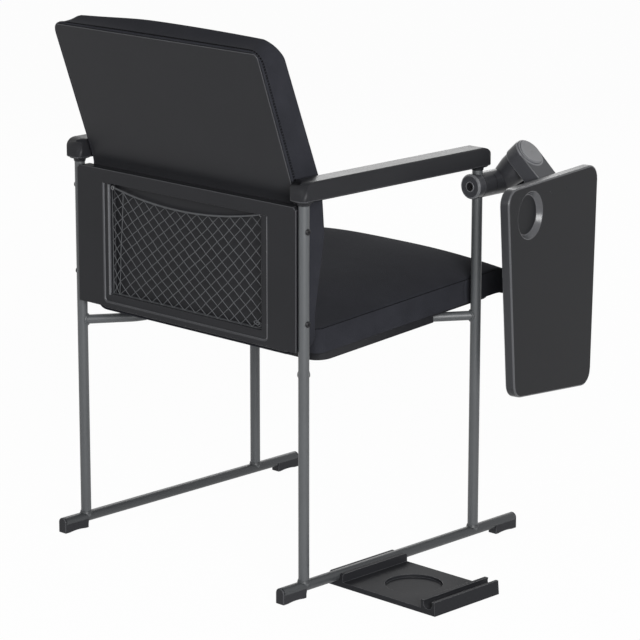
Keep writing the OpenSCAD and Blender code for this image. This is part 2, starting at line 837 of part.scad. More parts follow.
module u_shape(grow) {
    // The pocket frame: two uprights and a lower strip, drawn in X and Z
    outer = pocket_w / 2 + strip_w + grow;
    inner = pocket_w / 2 - grow;
    height = strip_top_z - strip_bottom_z + grow;
    difference() {
        union() {
            translate([-outer, -grow]) soft_rect([2 * outer, height], strip_w / 2);
            translate([-outer, height / 2]) square([2 * outer, height / 2]);
        }
        translate([-inner, strip_w - grow]) soft_rect([2 * inner, 2 * height], strip_w / 4);
    }
}

module pocket_panel() {
    color(plastic_colour) difference() {
        union() {
            panel_face(2 * panel_core_x, panel_front_y, panel_rear_y - panel_skin);
            panel_face(2 * panel_edge_x, panel_rear_y - panel_skin, panel_rear_y);
        }
        translate([
            -pocket_w / 2,
            panel_rear_y - pocket_depth,
            net_floor_z
        ]) {
            cube([pocket_w, pocket_depth + overrun, strip_top_z - net_floor_z]);
        }
        translate([0, panel_rear_y + overrun, strip_bottom_z]) rotate([90, 0, 0]) {
            linear_extrude(strip_seat + overrun) u_shape(0);
        }
        for (side = [-1, 1], z = [panel_top_z - screw_high, panel_bottom_z + screw_low]) {
            translate([side * (panel_core_x - screw_reach), leg_y, z]) rotate([0, side * 90, 0]) {
                cylinder(h = screw_reach + overrun, r = screw_r);
            }
        }
    }
}

module panel_screws() {
    // Button head screws through the rear legs into the panel's ends
    color(steel_colour) for (side = [-1, 1], z = [panel_top_z - screw_high, panel_bottom_z + screw_low]) {
        translate([side * (leg_x + tube_r), leg_y, z]) rotate([0, side * 90, 0]) difference() {
            union() {
                translate([0, 0, -tube_d - screw_reach + screw_head_h]) {
                    cylinder(h = tube_d + screw_reach, r = screw_r);
                }
                chamfered(screw_head_r, screw_head_h, screw_head_h / 2);
            }
            translate([0, 0, screw_head_h / 3]) cylinder(h = screw_head_h, r = screw_key_r, $fn = 6);
        }
    }
}

module pocket_frame() {
    color(plastic_colour) translate([0, panel_rear_y - strip_seat + strip_t, strip_bottom_z]) {
        rotate([90, 0, 0]) linear_extrude(strip_t) u_shape(0);
    }
}

// Net: two families of slanting strands below the sagging hem, with an edge strand round

net_w = pocket_w - 2 * push_gap;
net_top_z = strip_top_z - hem_d;
net_y = panel_rear_y - hem_d;

function hem_z(x) = net_top_z - net_sag * (1 - pow(2 * x / net_w, 2));

module net_outline(inset) {
    steps = 16;
    half = net_w / 2 - inset;
    polygon(concat(
        [[-half, net_floor_z + inset + push_gap], [half, net_floor_z + inset + push_gap]],
        [for (k = [steps:-1:0]) let (x = half * (2 * k / steps - 1)) [x, hem_z(x) - hem_d / 2 - inset]]
    ));
}

module pocket_net() {
    height = strip_top_z - net_floor_z;
    lean = atan(net_pitch_x / net_pitch_z);
    count = ceil((net_w + height * tan(lean)) / net_pitch_x / 2) + 1;
    color(net_colour) translate([0, net_y + net_strand / 2, 0]) rotate([90, 0, 0]) {
        linear_extrude(net_strand) {
            intersection() {
                net_outline(0);
                for (turn = [-lean, lean], k = [-count:count]) {
                    translate([k * net_pitch_x, net_floor_z + height / 2]) rotate(turn) {
                        square([net_strand, 2 * height], center = true);
                    }
                }
            }
            difference() {
                net_outline(0);
                net_outline(net_strand);
            }
        }
    }
}

module net_hem() {
    // Elastic cord along the net's upper edge
    steps = 16;
    half = net_w / 2;
    xs = [for (k = [0:steps]) half * (2 * k / steps - 1)];
    color(net_colour) translate([0, net_y + hem_d / 2, 0]) rotate([90, 0, 0]) {
        linear_extrude(hem_d) polygon(concat(
            [for (x = xs) [x, hem_z(x) + hem_d / 2]],
            [for (k = [steps:-1:0]) [xs[k], hem_z(xs[k]) - hem_d / 2]]
        ));
    }
}

// Tablet hinge: a clamp on the right front leg, an arm with an elbow, and a swivel head
// whose axis leans outward at half a right angle

module hub_place() {
    // Cylinders drawn upward lie along +Y from the leg axis
    translate([-leg_x, -leg_y, hub_z]) rotate([-90, 0, 0]) children();
}

module hinge_place() {
    // Origin at the elbow, -x outward along the toed plane, z up
    translate([-leg_x, elbow_y, hub_z]) rotate([0, 0, toe]) children();
}

module swivel_place() {
    // z along the swivel axis, -x outward and down, -y forward
    hinge_place() rotate([0, -hinge_tilt, 0]) children();
}

module hub_bores() {
    translate([-leg_x, -leg_y, hub_z - 2 * hub_r]) cylinder(h = 4 * hub_r, r = tube_r + run_gap);
    hub_place() translate([0, 0, -bolt_reach]) cylinder(h = bolt_reach + 2 * hub_rear, r = bolt_r);
}

module tablet_clamp() {
    // Rear half of the clamp, with the counterbored bolt seat
    color(plastic_colour) difference() {
        hub_place() chamfered(hub_r, hub_rear, edge_break);
        hub_bores();
        hub_place() translate([0, 0, hub_rear - bolt_head_h]) {
            cylinder(h = bolt_head_h + overrun, r = bolt_head_r + push_gap);
        }
    }
}

module clamp_bolt() {
    color(steel_colour) hub_place() difference() {
        union() {
            translate([0, 0, -bolt_reach]) {
                cylinder(h = bolt_reach + hub_rear - bolt_head_h, r = bolt_r);
            }
            translate([0, 0, hub_rear - bolt_head_h]) {
                chamfered(bolt_head_r, bolt_head_h - edge_break, edge_break / 4);
            }
        }
        translate([0, 0, hub_rear - bolt_head_h / 2]) {
            cylinder(h = bolt_head_h, r = bolt_key_r, $fn = 6);
        }
    }
}

module tablet_arm() {
    // Casting from the clamp's front half round the elbow to the boss
    color(plastic_colour) difference() {
        union() {
            hub_place() translate([0, 0, -elbow_reach]) {
                cylinder(h = elbow_reach - seat_gap, r = hub_r);
            }
            hinge_place() sphere(hub_r + elbow_swell);
            swivel_place() {
                cylinder(h = boss_h * 2 / 3, r1 = hub_r, r2 = boss_r);
                translate([0, 0, boss_h * 2 / 3]) cylinder(h = boss_h / 3, r = boss_r);
            }
        }
        hub_bores();
        swivel_place() translate([0, 0, pin_r]) cylinder(h = boss_h, r = pin_r);
    }
}

module pivot_pin() {
    color(steel_colour) swivel_place() translate([0, 0, pin_r]) {
        cylinder(h = head_top - pin_r - seat_gap, r = pin_r);
    }
}

module friction_washer() {
    color(steel_colour) swivel_place() translate([0, 0, boss_h]) difference() {
        cylinder(h = washer_t - run_gap, r = boss_r - edge_break);
        translate([0, 0, -overrun]) cylinder(h = washer_t + 2 * overrun, r = pin_r);
    }
}

pad_t = 6;
pad_w = 2 * (boss_r - edge_break);
pad_h = 3 * boss_r;
head_mid = head_base + head_t / 2;
pad_z = 2 * head_mid * cos(hinge_tilt) - tablet_back_x;

module swivel_head() {
    // Rounded bar from the pivot out to the pad that carries the tablet
    reach = tablet_back_x / sin(hinge_tilt);
    color(plastic_colour) difference() {
        intersection() {
            union() {
                swivel_place() {
                    translate([0, 0, head_base]) linear_extrude(head_t) {
                        circle(boss_r);
                        translate([-reach, -boss_r]) square([reach, 2 * boss_r]);
                    }
                    translate([0, 0, head_top]) {
                        cylinder(h = shoulder_h, r1 = boss_r, r2 = cap_r + edge_break);
                    }
                }
                hinge_place() translate([-tablet_back_x, 0, pad_z]) rotate([0, 90, 0]) {
                    linear_extrude(pad_t) translate([-pad_h / 4, -pad_w / 2]) {
                        soft_rect([pad_h, pad_w], pad_w / 4);
                    }
                }
            }
            hinge_place() translate([-tablet_back_x, -2 * boss_r, -pad_h]) {
                cube([tablet_back_x + 2 * boss_r, 4 * boss_r, 3 * pad_h]);
            }
        }
        swivel_place() {
            translate([0, 0, head_base - overrun]) {
                cylinder(h = head_top - head_base + overrun, r = pin_r + run_gap);
            }
        }
        pad_screws(-cup_screw_len, cup_screw_r + run_gap);
    }
}

module pad_screws(start, r) {
    // Screw axes through the pad into the tablet, below the bar
    for (y = [-1, 1], z = [pad_z - pad_h / 3, pad_z - pad_h * 2 / 3]) {
        hinge_place() translate([-tablet_back_x + start, y * pad_w / 4, z]) rotate([0, 90, 0]) {
            cylinder(h = pad_t - start, r = r);
        }
    }
}

module tablet_screws() {
    color(steel_colour) {
        pad_screws(-cup_screw_len, cup_screw_r);
        for (y = [-1, 1], z = [pad_z - pad_h / 3, pad_z - pad_h * 2 / 3]) {
            hinge_place() translate([-tablet_back_x + pad_t, y * pad_w / 4, z]) {
                rotate([0, 90, 0]) chamfered(cup_screw_head_r, cup_screw_head_h, cup_screw_head_h / 2);
            }
        }
    }
}

module pivot_cap() {
    // Grey cover over the pin, set into the shoulder
    color(cap_colour) swivel_place() translate([0, 0, head_top + shoulder_h]) {
        chamfered(cap_r, cap_h, cap_h / 2);
    }
}

// Tablet: a board with four rounded corners, drawn as [towards the rear, up]

function rounded_outline(corners, r, steps) = [
    for (k = [0:len(corners) - 1])
        let (
            n = len(corners),
            p = corners[k],
            a = corners[(k + n - 1) % n] - p,
            b = corners[(k + 1) % n] - p,
            ua = a / norm(a),
            ub = b / norm(b),
            half = acos(ua * ub) / 2,
            middle = p + (ua + ub) / norm(ua + ub) * r / sin(half),
            from = p + ua * r / tan(half) - middle,
            to = p + ub * r / tan(half) - middle
        )
        for (i = [0:steps])
            let (t = i / steps, w = 180 - 2 * half)
            middle + from * sin(w * (1 - t)) / sin(w) + to * sin(w * t) / sin(w)
];

module tablet_outline() {
    top = tablet_top_z;
    rear = tablet_top_w / 2 + tablet_shift;
    front = -tablet_top_w / 2 + tablet_shift;
    polygon(rounded_outline([
        [front, top],
        [-tablet_low_w / 2, top - tablet_front_h],
        [tablet_low_w / 2, top - tablet_rear_h],
        [rear, top]
    ], tablet_corner_r, 6));
}

module tablet_board() {
    color(plastic_colour) difference() {
        hinge_place() translate([-tablet_back_x - tablet_t, 0, 0]) rotate([90, 0, 90]) {
            linear_extrude(tablet_t) tablet_outline();
        }
        hinge_place() translate([-tablet_back_x - tablet_t - overrun, cup_back, tablet_top_z - cup_down]) {
            rotate([0, 90, 0]) cylinder(h = cup_depth + overrun, r = cup_r);
        }
        pad_screws(-cup_screw_len, cup_screw_r);
    }
}

// Row link: a plate on the floor with a channel clipped round the right rail and a second
// channel for the rail of the next chair

module link_profile() {
    lip = rail_z + link_lip;
    outer = channel_r + link_wall;
    difference() {
        union() {
            translate([-leg_x - link_pitch, 0]) square([link_pitch, link_t]);
            translate([-leg_x - outer, 0]) square([2 * outer, lip]);
            translate([-leg_x - link_pitch, 0]) {
                polygon([[-outer, 0], [outer, 0], [outer, lip], [edge_break - outer, lip]]);
            }
        }
        for (x = [-leg_x, -leg_x - link_pitch]) {
            translate([x, rail_z]) {
                circle(channel_r);
                translate([-channel_r + edge_break / 2, 0]) {
                    square([2 * channel_r - edge_break, lip]);
                }
            }
        }
    }
}

module row_link() {
    dish_x = -leg_x - link_pitch / 2;
    color(plastic_colour) difference() {
        translate([0, link_y, 0]) front_cut(link_len) link_profile();
        translate([dish_x, link_y, link_t - dish_depth]) cylinder(h = rail_z, r = dish_r);
        for (end = [-1, 1]) {
            // The lips' ends are rounded in the side view
            translate([0, link_y + end * link_len / 2, rail_z + link_lip]) {
                side_cut(4 * link_pitch) difference() {
                    square(2 * link_lip, center = true);
                    translate([-end * link_lip, -link_lip]) circle(link_lip);
                }
            }
        }
    }
}

module on_datum() {
    // The chair's own axes are moved so that the footprint's middle is the origin
    translate(datum) children();
}

on_datum() leg_node(1, 1);  // leg_rear_left
on_datum() leg_node(-1, 1);  // leg_rear_right
on_datum() leg_node(1, -1);  // leg_front_left
on_datum() leg_node(-1, -1);  // leg_front_right
on_datum() rail_tube(1);  // rail_left
on_datum() rail_tube(-1);  // rail_right
on_datum() seat_bar(1);  // seat_bar_left
on_datum() seat_bar(-1);  // seat_bar_right
on_datum() glide(1, 1);  // glide_rear_left
on_datum() glide(-1, 1);  // glide_rear_right
on_datum() glide(1, -1);  // glide_front_left
on_datum() glide(-1, -1);  // glide_front_right
on_datum() armrest(1);  // armrest_left
on_datum() armrest(-1);  // armrest_right
on_datum() seat_saddles();
on_datum() saddle_screws();
on_datum() seat_pan();
on_datum() seat_cushion();
on_datum() back_shell();
on_datum() back_cushion();
on_datum() pocket_panel();
on_datum() panel_screws();
on_datum() pocket_frame();
on_datum() pocket_net();
on_datum() net_hem();
on_datum() tablet_clamp();
on_datum() clamp_bolt();
on_datum() tablet_arm();
on_datum() pivot_pin();
on_datum() friction_washer();
on_datum() swivel_head();
on_datum() pivot_cap();
on_datum() tablet_screws();
on_datum() tablet_board();
on_datum() row_link();
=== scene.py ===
# A visitor chair: steel tube frame, upholstered seat and back, a net pocket behind the back,
# a writing tablet that swings over the lap, and a floor plate that joins chairs in a row.
import math
import random
import bpy
import bmesh
from mathutils import Matrix, Vector


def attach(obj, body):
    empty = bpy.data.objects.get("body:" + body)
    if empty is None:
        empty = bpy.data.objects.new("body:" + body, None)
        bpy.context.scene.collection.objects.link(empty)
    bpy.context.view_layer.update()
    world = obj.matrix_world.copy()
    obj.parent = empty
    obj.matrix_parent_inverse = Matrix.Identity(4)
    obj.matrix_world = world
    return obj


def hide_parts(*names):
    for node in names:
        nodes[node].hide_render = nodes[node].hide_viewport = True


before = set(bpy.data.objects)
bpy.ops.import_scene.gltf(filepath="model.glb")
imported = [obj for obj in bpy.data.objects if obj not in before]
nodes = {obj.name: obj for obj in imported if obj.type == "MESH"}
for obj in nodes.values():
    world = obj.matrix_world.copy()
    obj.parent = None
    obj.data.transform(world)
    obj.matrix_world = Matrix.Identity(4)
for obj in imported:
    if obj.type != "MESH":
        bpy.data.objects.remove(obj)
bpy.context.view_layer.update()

DATUM = Vector((0.1013, 0.071365, 0.0))
view_layer = bpy.context.view_layer
scene = bpy.context.scene

# Studio: a white floor that fades into white surroundings, three large soft lamps, and the camera
# behind the chair, on the sitter's right.

scene.view_settings.view_transform = "Standard"


def linked(name, data):
    """A new object in the scene."""
    ob = bpy.data.objects.new(name, data)
    scene.collection.objects.link(ob)
    return ob


camera_data = bpy.data.cameras.new("camera")
camera_data.sensor_width = 36
camera_data.lens = 169.74
camera_data.clip_end = 60
camera = linked("camera", camera_data)
camera_right = Vector((-0.71585093, -0.69825229, 0.00108313))
camera_up = Vector((0.16897184, -0.17172506, 0.97054573))
camera_back = camera_right.cross(camera_up)
camera_place = Vector((-3.556318, 3.543822, 1.628853)) + DATUM
camera_axes = Matrix((camera_right, camera_up, camera_back)).transposed()
camera.matrix_world = Matrix.Translation(camera_place) @ camera_axes.to_4x4()
scene.camera = camera


def wire(links, pairs):
    """Joins nodes: from node, its output, to node, its input."""
    for source, output, target, entry in pairs:
        links.new(source.outputs[output], target.inputs[entry])


def white_share(tree, top):
    """How far a ray sees plain white: camera, glossy and transmission rays do, the rest don't."""
    n, l = tree.nodes, tree.links
    path = n.new("ShaderNodeLightPath")
    shiny = n.new("ShaderNodeMath")
    shiny.operation = "MAXIMUM"
    every = n.new("ShaderNodeMath")
    every.operation = "MAXIMUM"
    share = n.new("ShaderNodeMath")
    share.operation = "MULTIPLY"
    share.inputs[1].default_value = top
    wire(l, [
        (path, "Is Glossy Ray", shiny, 0), (path, "Is Transmission Ray", shiny, 1),
        (path, "Is Camera Ray", every, 0), (shiny, 0, every, 1), (every, 0, share, 0),
    ])
    return share.outputs[0]


def world_sky():
    """Soft surroundings that light evenly and look white to the camera."""
    world = bpy.data.worlds.new("studio")
    scene.world = world
    world.use_nodes = True
    n, l = world.node_tree.nodes, world.node_tree.links
    n.clear()
    out = n.new("ShaderNodeOutputWorld")
    mix = n.new("ShaderNodeMixShader")
    seen = n.new("ShaderNodeBackground")
    lit = n.new("ShaderNodeBackground")
    seen.inputs["Color"].default_value = (1, 1, 1, 1)
    lit.inputs["Color"].default_value = (1, 1, 1, 1)
    lit.inputs["Strength"].default_value = 0.17
    l.new(white_share(world.node_tree, 1.0), mix.inputs["Fac"])
    wire(l, [
        (lit, "Background", mix, 1), (seen, "Background", mix, 2), (mix, "Shader", out, "Surface"),
    ])


world_sky()


def lamp(name, place, aim, size, power):
    """A round soft lamp that faces a point."""
    light = bpy.data.lights.new(name, "AREA")
    light.shape = "DISK"
    light.size = size
    light.energy = power
    ob = linked(name, light)
    ob.location = place
    ob.rotation_euler = (Vector(aim) - Vector(place)).to_track_quat("-Z", "Y").to_euler()


lamp("key_lamp", (-3.45, 2.15, 1.65), aim=(0, 0, 0.5), size=1.9, power=178)
lamp("fill_lamp", (0.9, 3.7, 1.7), aim=(0, 0, 0.5), size=2.0, power=26)
lamp("front_lamp", (2.4, -2.6, 2.2), aim=(0, 0, 0.6), size=1.6, power=27)


def floor_plane():
    """A wide floor that looks white to the camera and still lights the chair from below."""
    mesh = bpy.data.meshes.new("floor")
    half = 22
    corners = [(-half, -half, 0), (half, -half, 0), (half, half, 0), (-half, half, 0)]
    mesh.from_pydata(corners, [], [(0, 1, 2, 3)])
    ob = linked("floor", mesh)
    mat = bpy.data.materials.new("floor_white")
    mat.use_nodes = True
    n, l = mat.node_tree.nodes, mat.node_tree.links
    n.clear()
    out = n.new("ShaderNodeOutputMaterial")
    mix = n.new("ShaderNodeMixShader")
    bright = n.new("ShaderNodeEmission")
    matt = n.new("ShaderNodeBsdfDiffuse")
    matt.inputs["Color"].default_value = (0.9, 0.9, 0.9, 1)
    l.new(white_share(mat.node_tree, 0.97), mix.inputs["Fac"])
    wire(l, [
        (matt, 0, mix, 1), (bright, 0, mix, 2), (mix, 0, out, "Surface"),
    ])
    ob.data.materials.append(mat)


floor_plane()

# Tube frame: legs, floor rails and seat bars of round steel tube, notched and welded at their
# meetings, then powder coated in a satin dark grey.


def new_group(name, inputs, outputs):
    """An empty shader group with named sockets."""
    tree = bpy.data.node_groups.new(name, "ShaderNodeTree")
    for label, kind, value in inputs:
        s = tree.interface.new_socket(name=label, in_out="INPUT", socket_type=kind)
        if value is not None:
            s.default_value = value
    for label, kind in outputs:
        tree.interface.new_socket(name=label, in_out="OUTPUT", socket_type=kind)
    return tree, tree.nodes.new("NodeGroupInput"), tree.nodes.new("NodeGroupOutput")


def grain_group():
    """Fine grain over slow clouding: a height for the bump, and a colour between two tones."""
    tree, gin, gout = new_group(
        "surface_grain",
        [("Scale", "NodeSocketFloat", 900.0), ("Cloud Scale", "NodeSocketFloat", 14.0),
         ("Light", "NodeSocketColor", (0.1, 0.1, 0.1, 1)), ("Dark", "NodeSocketColor", (0.05, 0.05, 0.05, 1)),
         ("Rough Low", "NodeSocketFloat", 0.4), ("Rough High", "NodeSocketFloat", 0.55)],
        [("Height", "NodeSocketFloat"), ("Colour", "NodeSocketColor"), ("Roughness", "NodeSocketFloat")],
    )
    n, l = tree.nodes, tree.links
    coord = n.new("ShaderNodeTexCoord")
    fine = n.new("ShaderNodeTexNoise")
    fine.inputs["Detail"].default_value = 3
    cloud = n.new("ShaderNodeTexNoise")
    cloud.inputs["Detail"].default_value = 4
    both = n.new("ShaderNodeMath")
    both.operation = "MULTIPLY_ADD"
    both.inputs[1].default_value = 0.35
    mix = n.new("ShaderNodeMix")
    mix.data_type = "RGBA"
    rough = n.new("ShaderNodeMapRange")
    wire(l, [
        (coord, "Object", fine, "Vector"), (coord, "Object", cloud, "Vector"),
        (gin, "Scale", fine, "Scale"), (gin, "Cloud Scale", cloud, "Scale"), (fine, "Fac", both, 0),
        (cloud, "Fac", both, 2), (both, 0, mix, "Factor"), (gin, "Dark", mix, "A"),
        (gin, "Light", mix, "B"), (cloud, "Fac", rough, "Value"), (gin, "Rough Low", rough, "To Min"),
        (gin, "Rough High", rough, "To Max"), (fine, "Fac", gout, "Height"),
        (mix, "Result", gout, "Colour"), (rough, "Result", gout, "Roughness"),
    ])
    return tree


surface_grain = grain_group()


def grained(name, light, dark, scale, cloud, rough, bump, specular=0.5, sheen=0.0):
    """A finished surface: grain, clouding and roughness from the shared group."""
    mat = bpy.data.materials.new(name)
    mat.use_nodes = True
    n, l = mat.node_tree.nodes, mat.node_tree.links
    shader = n["Principled BSDF"]
    group = n.new("ShaderNodeGroup")
    group.node_tree = surface_grain
    group.inputs["Scale"].default_value = scale
    group.inputs["Cloud Scale"].default_value = cloud
    group.inputs["Light"].default_value = (*light, 1)
    group.inputs["Dark"].default_value = (*dark, 1)
    group.inputs["Rough Low"].default_value = rough[0]
    group.inputs["Rough High"].default_value = rough[1]
    bumped = n.new("ShaderNodeBump")
    bumped.inputs["Strength"].default_value = bump[0]
    bumped.inputs["Distance"].default_value = bump[1]
    wire(l, [
        (group, "Colour", shader, "Base Color"), (group, "Roughness", shader, "Roughness"),
        (group, "Height", bumped, "Height"), (bumped, "Normal", shader, "Normal"),
    ])
    shader.inputs["Specular IOR Level"].default_value = specular
    shader.inputs["Sheen Weight"].default_value = sheen
    return mat


def finish(name, mat):
    """Gives a CAD node its finished material."""
    ob = nodes[name]
    ob.data.materials.clear()
    ob.data.materials.append(mat)


powder_coat = grained("powder_coat", (0.073, 0.0775, 0.082), (0.053, 0.0565, 0.06), 1400, 9,
                      (0.34, 0.44), (0.12, 0.0002))
# The rails' coat is a darker copy of the legs' powder coat, painted shade: with one coat for both they came
# out too pale.
rail_coat_shaded = grained("rail_coat_shaded", (0.045, 0.0478, 0.0508), (0.032, 0.0341, 0.0362), 1400, 9,
                    (0.36, 0.46), (0.12, 0.0002), specular=0.35)
for name in ("leg_rear_left", "leg_rear_right", "leg_front_left", "leg_front_right",
             "seat_bar_left", "seat_bar_right"):
    finish(name, powder_coat)
for name in ("rail_left", "rail_right"):
    finish(name, rail_coat_shaded)


def new_tree(name, inputs, output):
    """An empty Geometry Nodes tree with named sockets."""
    tree = bpy.data.node_groups.new(name, "GeometryNodeTree")
    for label, kind in inputs:
        tree.interface.new_socket(name=label, in_out="INPUT", socket_type=kind)
    tree.interface.new_socket(name=output, in_out="OUTPUT", socket_type="NodeSocketGeometry")
    return tree, tree.nodes.new("NodeGroupInput"), tree.nodes.new("NodeGroupOutput")


def bead_tree():
    """A weld bead along a path: round in section, with the ripples of the welder's steps."""
    tree, gin, gout = new_tree(
        "weld_bead",
        [("Path", "NodeSocketGeometry"), ("Radius", "NodeSocketFloat"), ("Ripple", "NodeSocketFloat"),
         ("Coat", "NodeSocketMaterial")], "Bead")
    n, l = tree.nodes, tree.links
    fine = n.new("GeometryNodeResampleCurve")
    fine.mode = "LENGTH"
    fine.inputs["Length"].default_value = 0.0007
    profile = n.new("GeometryNodeCurvePrimitiveCircle")
    profile.inputs["Resolution"].default_value = 10
    sweep = n.new("GeometryNodeCurveToMesh")
    bumps = n.new("ShaderNodeTexNoise")
    bumps.inputs["Scale"].default_value = 420
    centred = n.new("ShaderNodeMath")
    centred.operation = "SUBTRACT"
    centred.inputs[1].default_value = 0.5
    amount = n.new("ShaderNodeMath")
    amount.operation = "MULTIPLY"
    normal = n.new("GeometryNodeInputNormal")
    push = n.new("ShaderNodeVectorMath")
    push.operation = "SCALE"
    move = n.new("GeometryNodeSetPosition")
    smooth = n.new("GeometryNodeSetShadeSmooth")
    real = n.new("GeometryNodeRealizeInstances")
    paint = n.new("GeometryNodeSetMaterial")
    wire(l, [
        (gin, "Path", fine, "Curve"), (gin, "Radius", profile, "Radius"), (fine, "Curve", sweep, "Curve"),
        (profile, "Curve", sweep, "Profile Curve"), (sweep, "Mesh", move, "Geometry"),
        (bumps, "Fac", centred, 0), (centred, 0, amount, 0), (gin, "Ripple", amount, 1),
        (normal, "Normal", push, 0), (amount, 0, push, "Scale"), (push, "Vector", move, "Offset"),
        (move, "Geometry", smooth, "Geometry"), (smooth, "Geometry", real, "Geometry"),
        (real, "Geometry", paint, "Geometry"), (gin, "Coat", paint, "Material"),
        (paint, "Geometry", gout, "Bead"),
    ])
    return tree


def grown(name, source, tree, values):
    """Runs a Geometry Nodes tree on a source object and keeps the result as a plain mesh."""
    mod = source.modifiers.new("grow", "NODES")
    mod.node_group = tree
    for item in tree.interface.items_tree:
        if item.in_out == "INPUT" and item.name in values:
            mod[item.identifier] = values[item.name]
    source.update_tag()
    view_layer.update()
    done = source.evaluated_get(bpy.context.evaluated_depsgraph_get())
    mesh = bpy.data.meshes.new_from_object(done)
    mesh.name = name
    source.modifiers.remove(mod)
    bpy.data.objects.remove(source)
    return linked(name, mesh)


def path_curve(name, paths, closed):
    """Straight-segment curves through lists of points."""
    curve = bpy.data.curves.new(name, "CURVE")
    curve.dimensions = "3D"
    for pts in paths:
        sp = curve.splines.new("POLY")
        sp.points.add(len(pts) - 1)
        for q, v in zip(sp.points, pts):
            q.co = (*v, 1)
        sp.use_cyclic_u = closed
    return linked(name, curve)


LEG_X, LEG_Y, TUBE_R = 268.0, 208.0, 9.0
BAR_Z, BAR_FRONT_Z, BAR_R = 374.0, 401.0, 8.0
SLOPE = math.atan((BAR_FRONT_Z - BAR_Z) / (2 * LEG_Y))
BAR_SPLAY = math.radians(45)
WELD_POINTS, WELD_OUT = 48, 0.4


def placed(x, y, z):
    """From millimetres on the chair's own axes to metres in the scene."""
    return Vector((x, y, z)) / 1000 + DATUM


def bar_weld(side, end):
    """Closed line where a seat bar meets a leg."""
    up = Vector((0, math.sin(SLOPE), math.cos(SLOPE)))
    along = Vector((0, -end * math.cos(SLOPE), end * math.sin(SLOPE)))
    axis = Vector((-side, 0, 0)) * math.sin(BAR_SPLAY) + along * math.cos(BAR_SPLAY)
    across = up.cross(axis)
    z = BAR_Z if end > 0 else BAR_FRONT_Z
    line = []
    for k in range(WELD_POINTS):
        a = 2 * math.pi * k / WELD_POINTS
        off = (across * math.cos(a) + up * math.sin(a)) * (BAR_R + WELD_OUT)
        flat, way = Vector((off.x, off.y)), Vector((axis.x, axis.y))
        b = flat.dot(way) / way.length_squared
        c = (flat.length_squared - (TUBE_R + WELD_OUT) ** 2) / way.length_squared
        reach = -b + math.sqrt(max(0.0, b * b - c))
        line.append((Vector((side * LEG_X, end * LEG_Y, z)) + off + axis * reach) / 1000 + DATUM)
    return line


weld_lines = [bar_weld(side, end) for side in (-1, 1) for end in (-1, 1)]
welds = grown("bar_welds", path_curve("bar_weld_lines", weld_lines, True), bead_tree(),
              {"Radius": 0.0021, "Ripple": 0.0012, "Coat": powder_coat})
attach(welds, "frame")

# Glides: moulded shoes pressed into the open ends of the floor rails. They come out of the mould
# with soft edges, and their flat undersides stand on the floor.

moulded = grained("moulded_black", (0.0185, 0.0188, 0.0212), (0.014, 0.0143, 0.016), 1800, 12,
                  (0.34, 0.42), (0.14, 0.0002), specular=0.12)
# A lighter copy of the moulded finish, for rounded edges: a painted highlight.
soft_edge_highlight = grained("soft_edge_highlight", (0.055, 0.056, 0.061), (0.044, 0.045, 0.049), 1800, 12,
                    (0.26, 0.34), (0.08, 0.0002), specular=0.25)
SHARP_ANGLE = math.radians(32)
FINE_SHARE = 0.35


def weigh_edges(bm, least, fine):
    """Marks the sharp edges to round: runs longer than the least size, those under fine by less."""
    weight = bm.edges.layers.float.new("bevel_weight_edge")
    sharp = {e for e in bm.edges if len(e.link_faces) == 2 and e.calc_face_angle(0.0) > SHARP_ANGLE}
    while sharp:
        run, open_edges = set(), [sharp.pop()]
        while open_edges:
            e = open_edges.pop()
            run.add(e)
            for v in e.verts:
                for other in v.link_edges:
                    if other in sharp:
                        sharp.remove(other)
                        open_edges.append(other)
        points = [v.co for e in run for v in e.verts]
        spans = [max(p[k] for p in points) - min(p[k] for p in points) for k in range(3)]
        if max(spans) > least:
            for e in run:
                e[weight] = FINE_SHARE if max(spans) < fine else 1.0


def softened(name, width, mat, body="frame", steps=3, edge=None, shape=None, least=None,
             fine=0):
    """A moulding's own copy of the CAD mesh, with its sharp edges rounded; the rounding takes the edge
    material when one is given, a lighter colour that paints a highlight along the edge.

    With a least size, the edges that are long enough get the full width. Without one, the rounding
    is kept from overlapping itself, which makes it far narrower wherever the mesh is fine.
    """
    bm = bmesh.new()
    bm.from_mesh(nodes[name].data)
    bmesh.ops.remove_doubles(bm, verts=bm.verts, dist=3e-6)
    bmesh.ops.dissolve_limit(bm, angle_limit=math.radians(0.8), verts=bm.verts, edges=bm.edges)
    if shape:
        shape(bm)
    if least:
        weigh_edges(bm, least, fine)
    mesh = bpy.data.meshes.new(name + "_soft")
    bm.to_mesh(mesh)
    bm.free()
    source = linked(name + "_source", mesh)
    round_off = source.modifiers.new("round_off", "BEVEL")
    round_off.width = width
    round_off.segments = steps
    round_off.limit_method = "WEIGHT" if least else "ANGLE"
    round_off.angle_limit = SHARP_ANGLE
    round_off.use_clamp_overlap = not least
    mesh.materials.append(mat)
    mesh.materials.append(edge or mat)
    round_off.material = 1
    mesh.polygons.foreach_set("use_smooth", [True] * len(mesh.polygons))
    even = source.modifiers.new("even_normals", "WEIGHTED_NORMAL")
    even.keep_sharp = True
    view_layer.update()
    done = bpy.data.meshes.new_from_object(source.evaluated_get(bpy.context.evaluated_depsgraph_get()))
    bpy.data.objects.remove(source)
    done.name = name + "_finished"
    ob = linked(done.name, done)
    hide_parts(name)
    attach(ob, body)
    return ob


glide_black = grained("glide_black", (0.027, 0.0275, 0.0305), (0.021, 0.0214, 0.0238), 1800, 12,
                      (0.4, 0.5), (0.14, 0.0002), specular=0.12)
# Their rounded edges take the lighter edge colour: a painted highlight.
for name in ("glide_rear_left", "glide_rear_right", "glide_front_left", "glide_front_right"):
    softened(name, 0.0012, glide_black, edge=soft_edge_highlight, least=0.012)

# Seat pan and saddles: a moulded pan with a skirt, under the seat. Moulded saddles clip it over
# the bars, and screws go up through them from below.

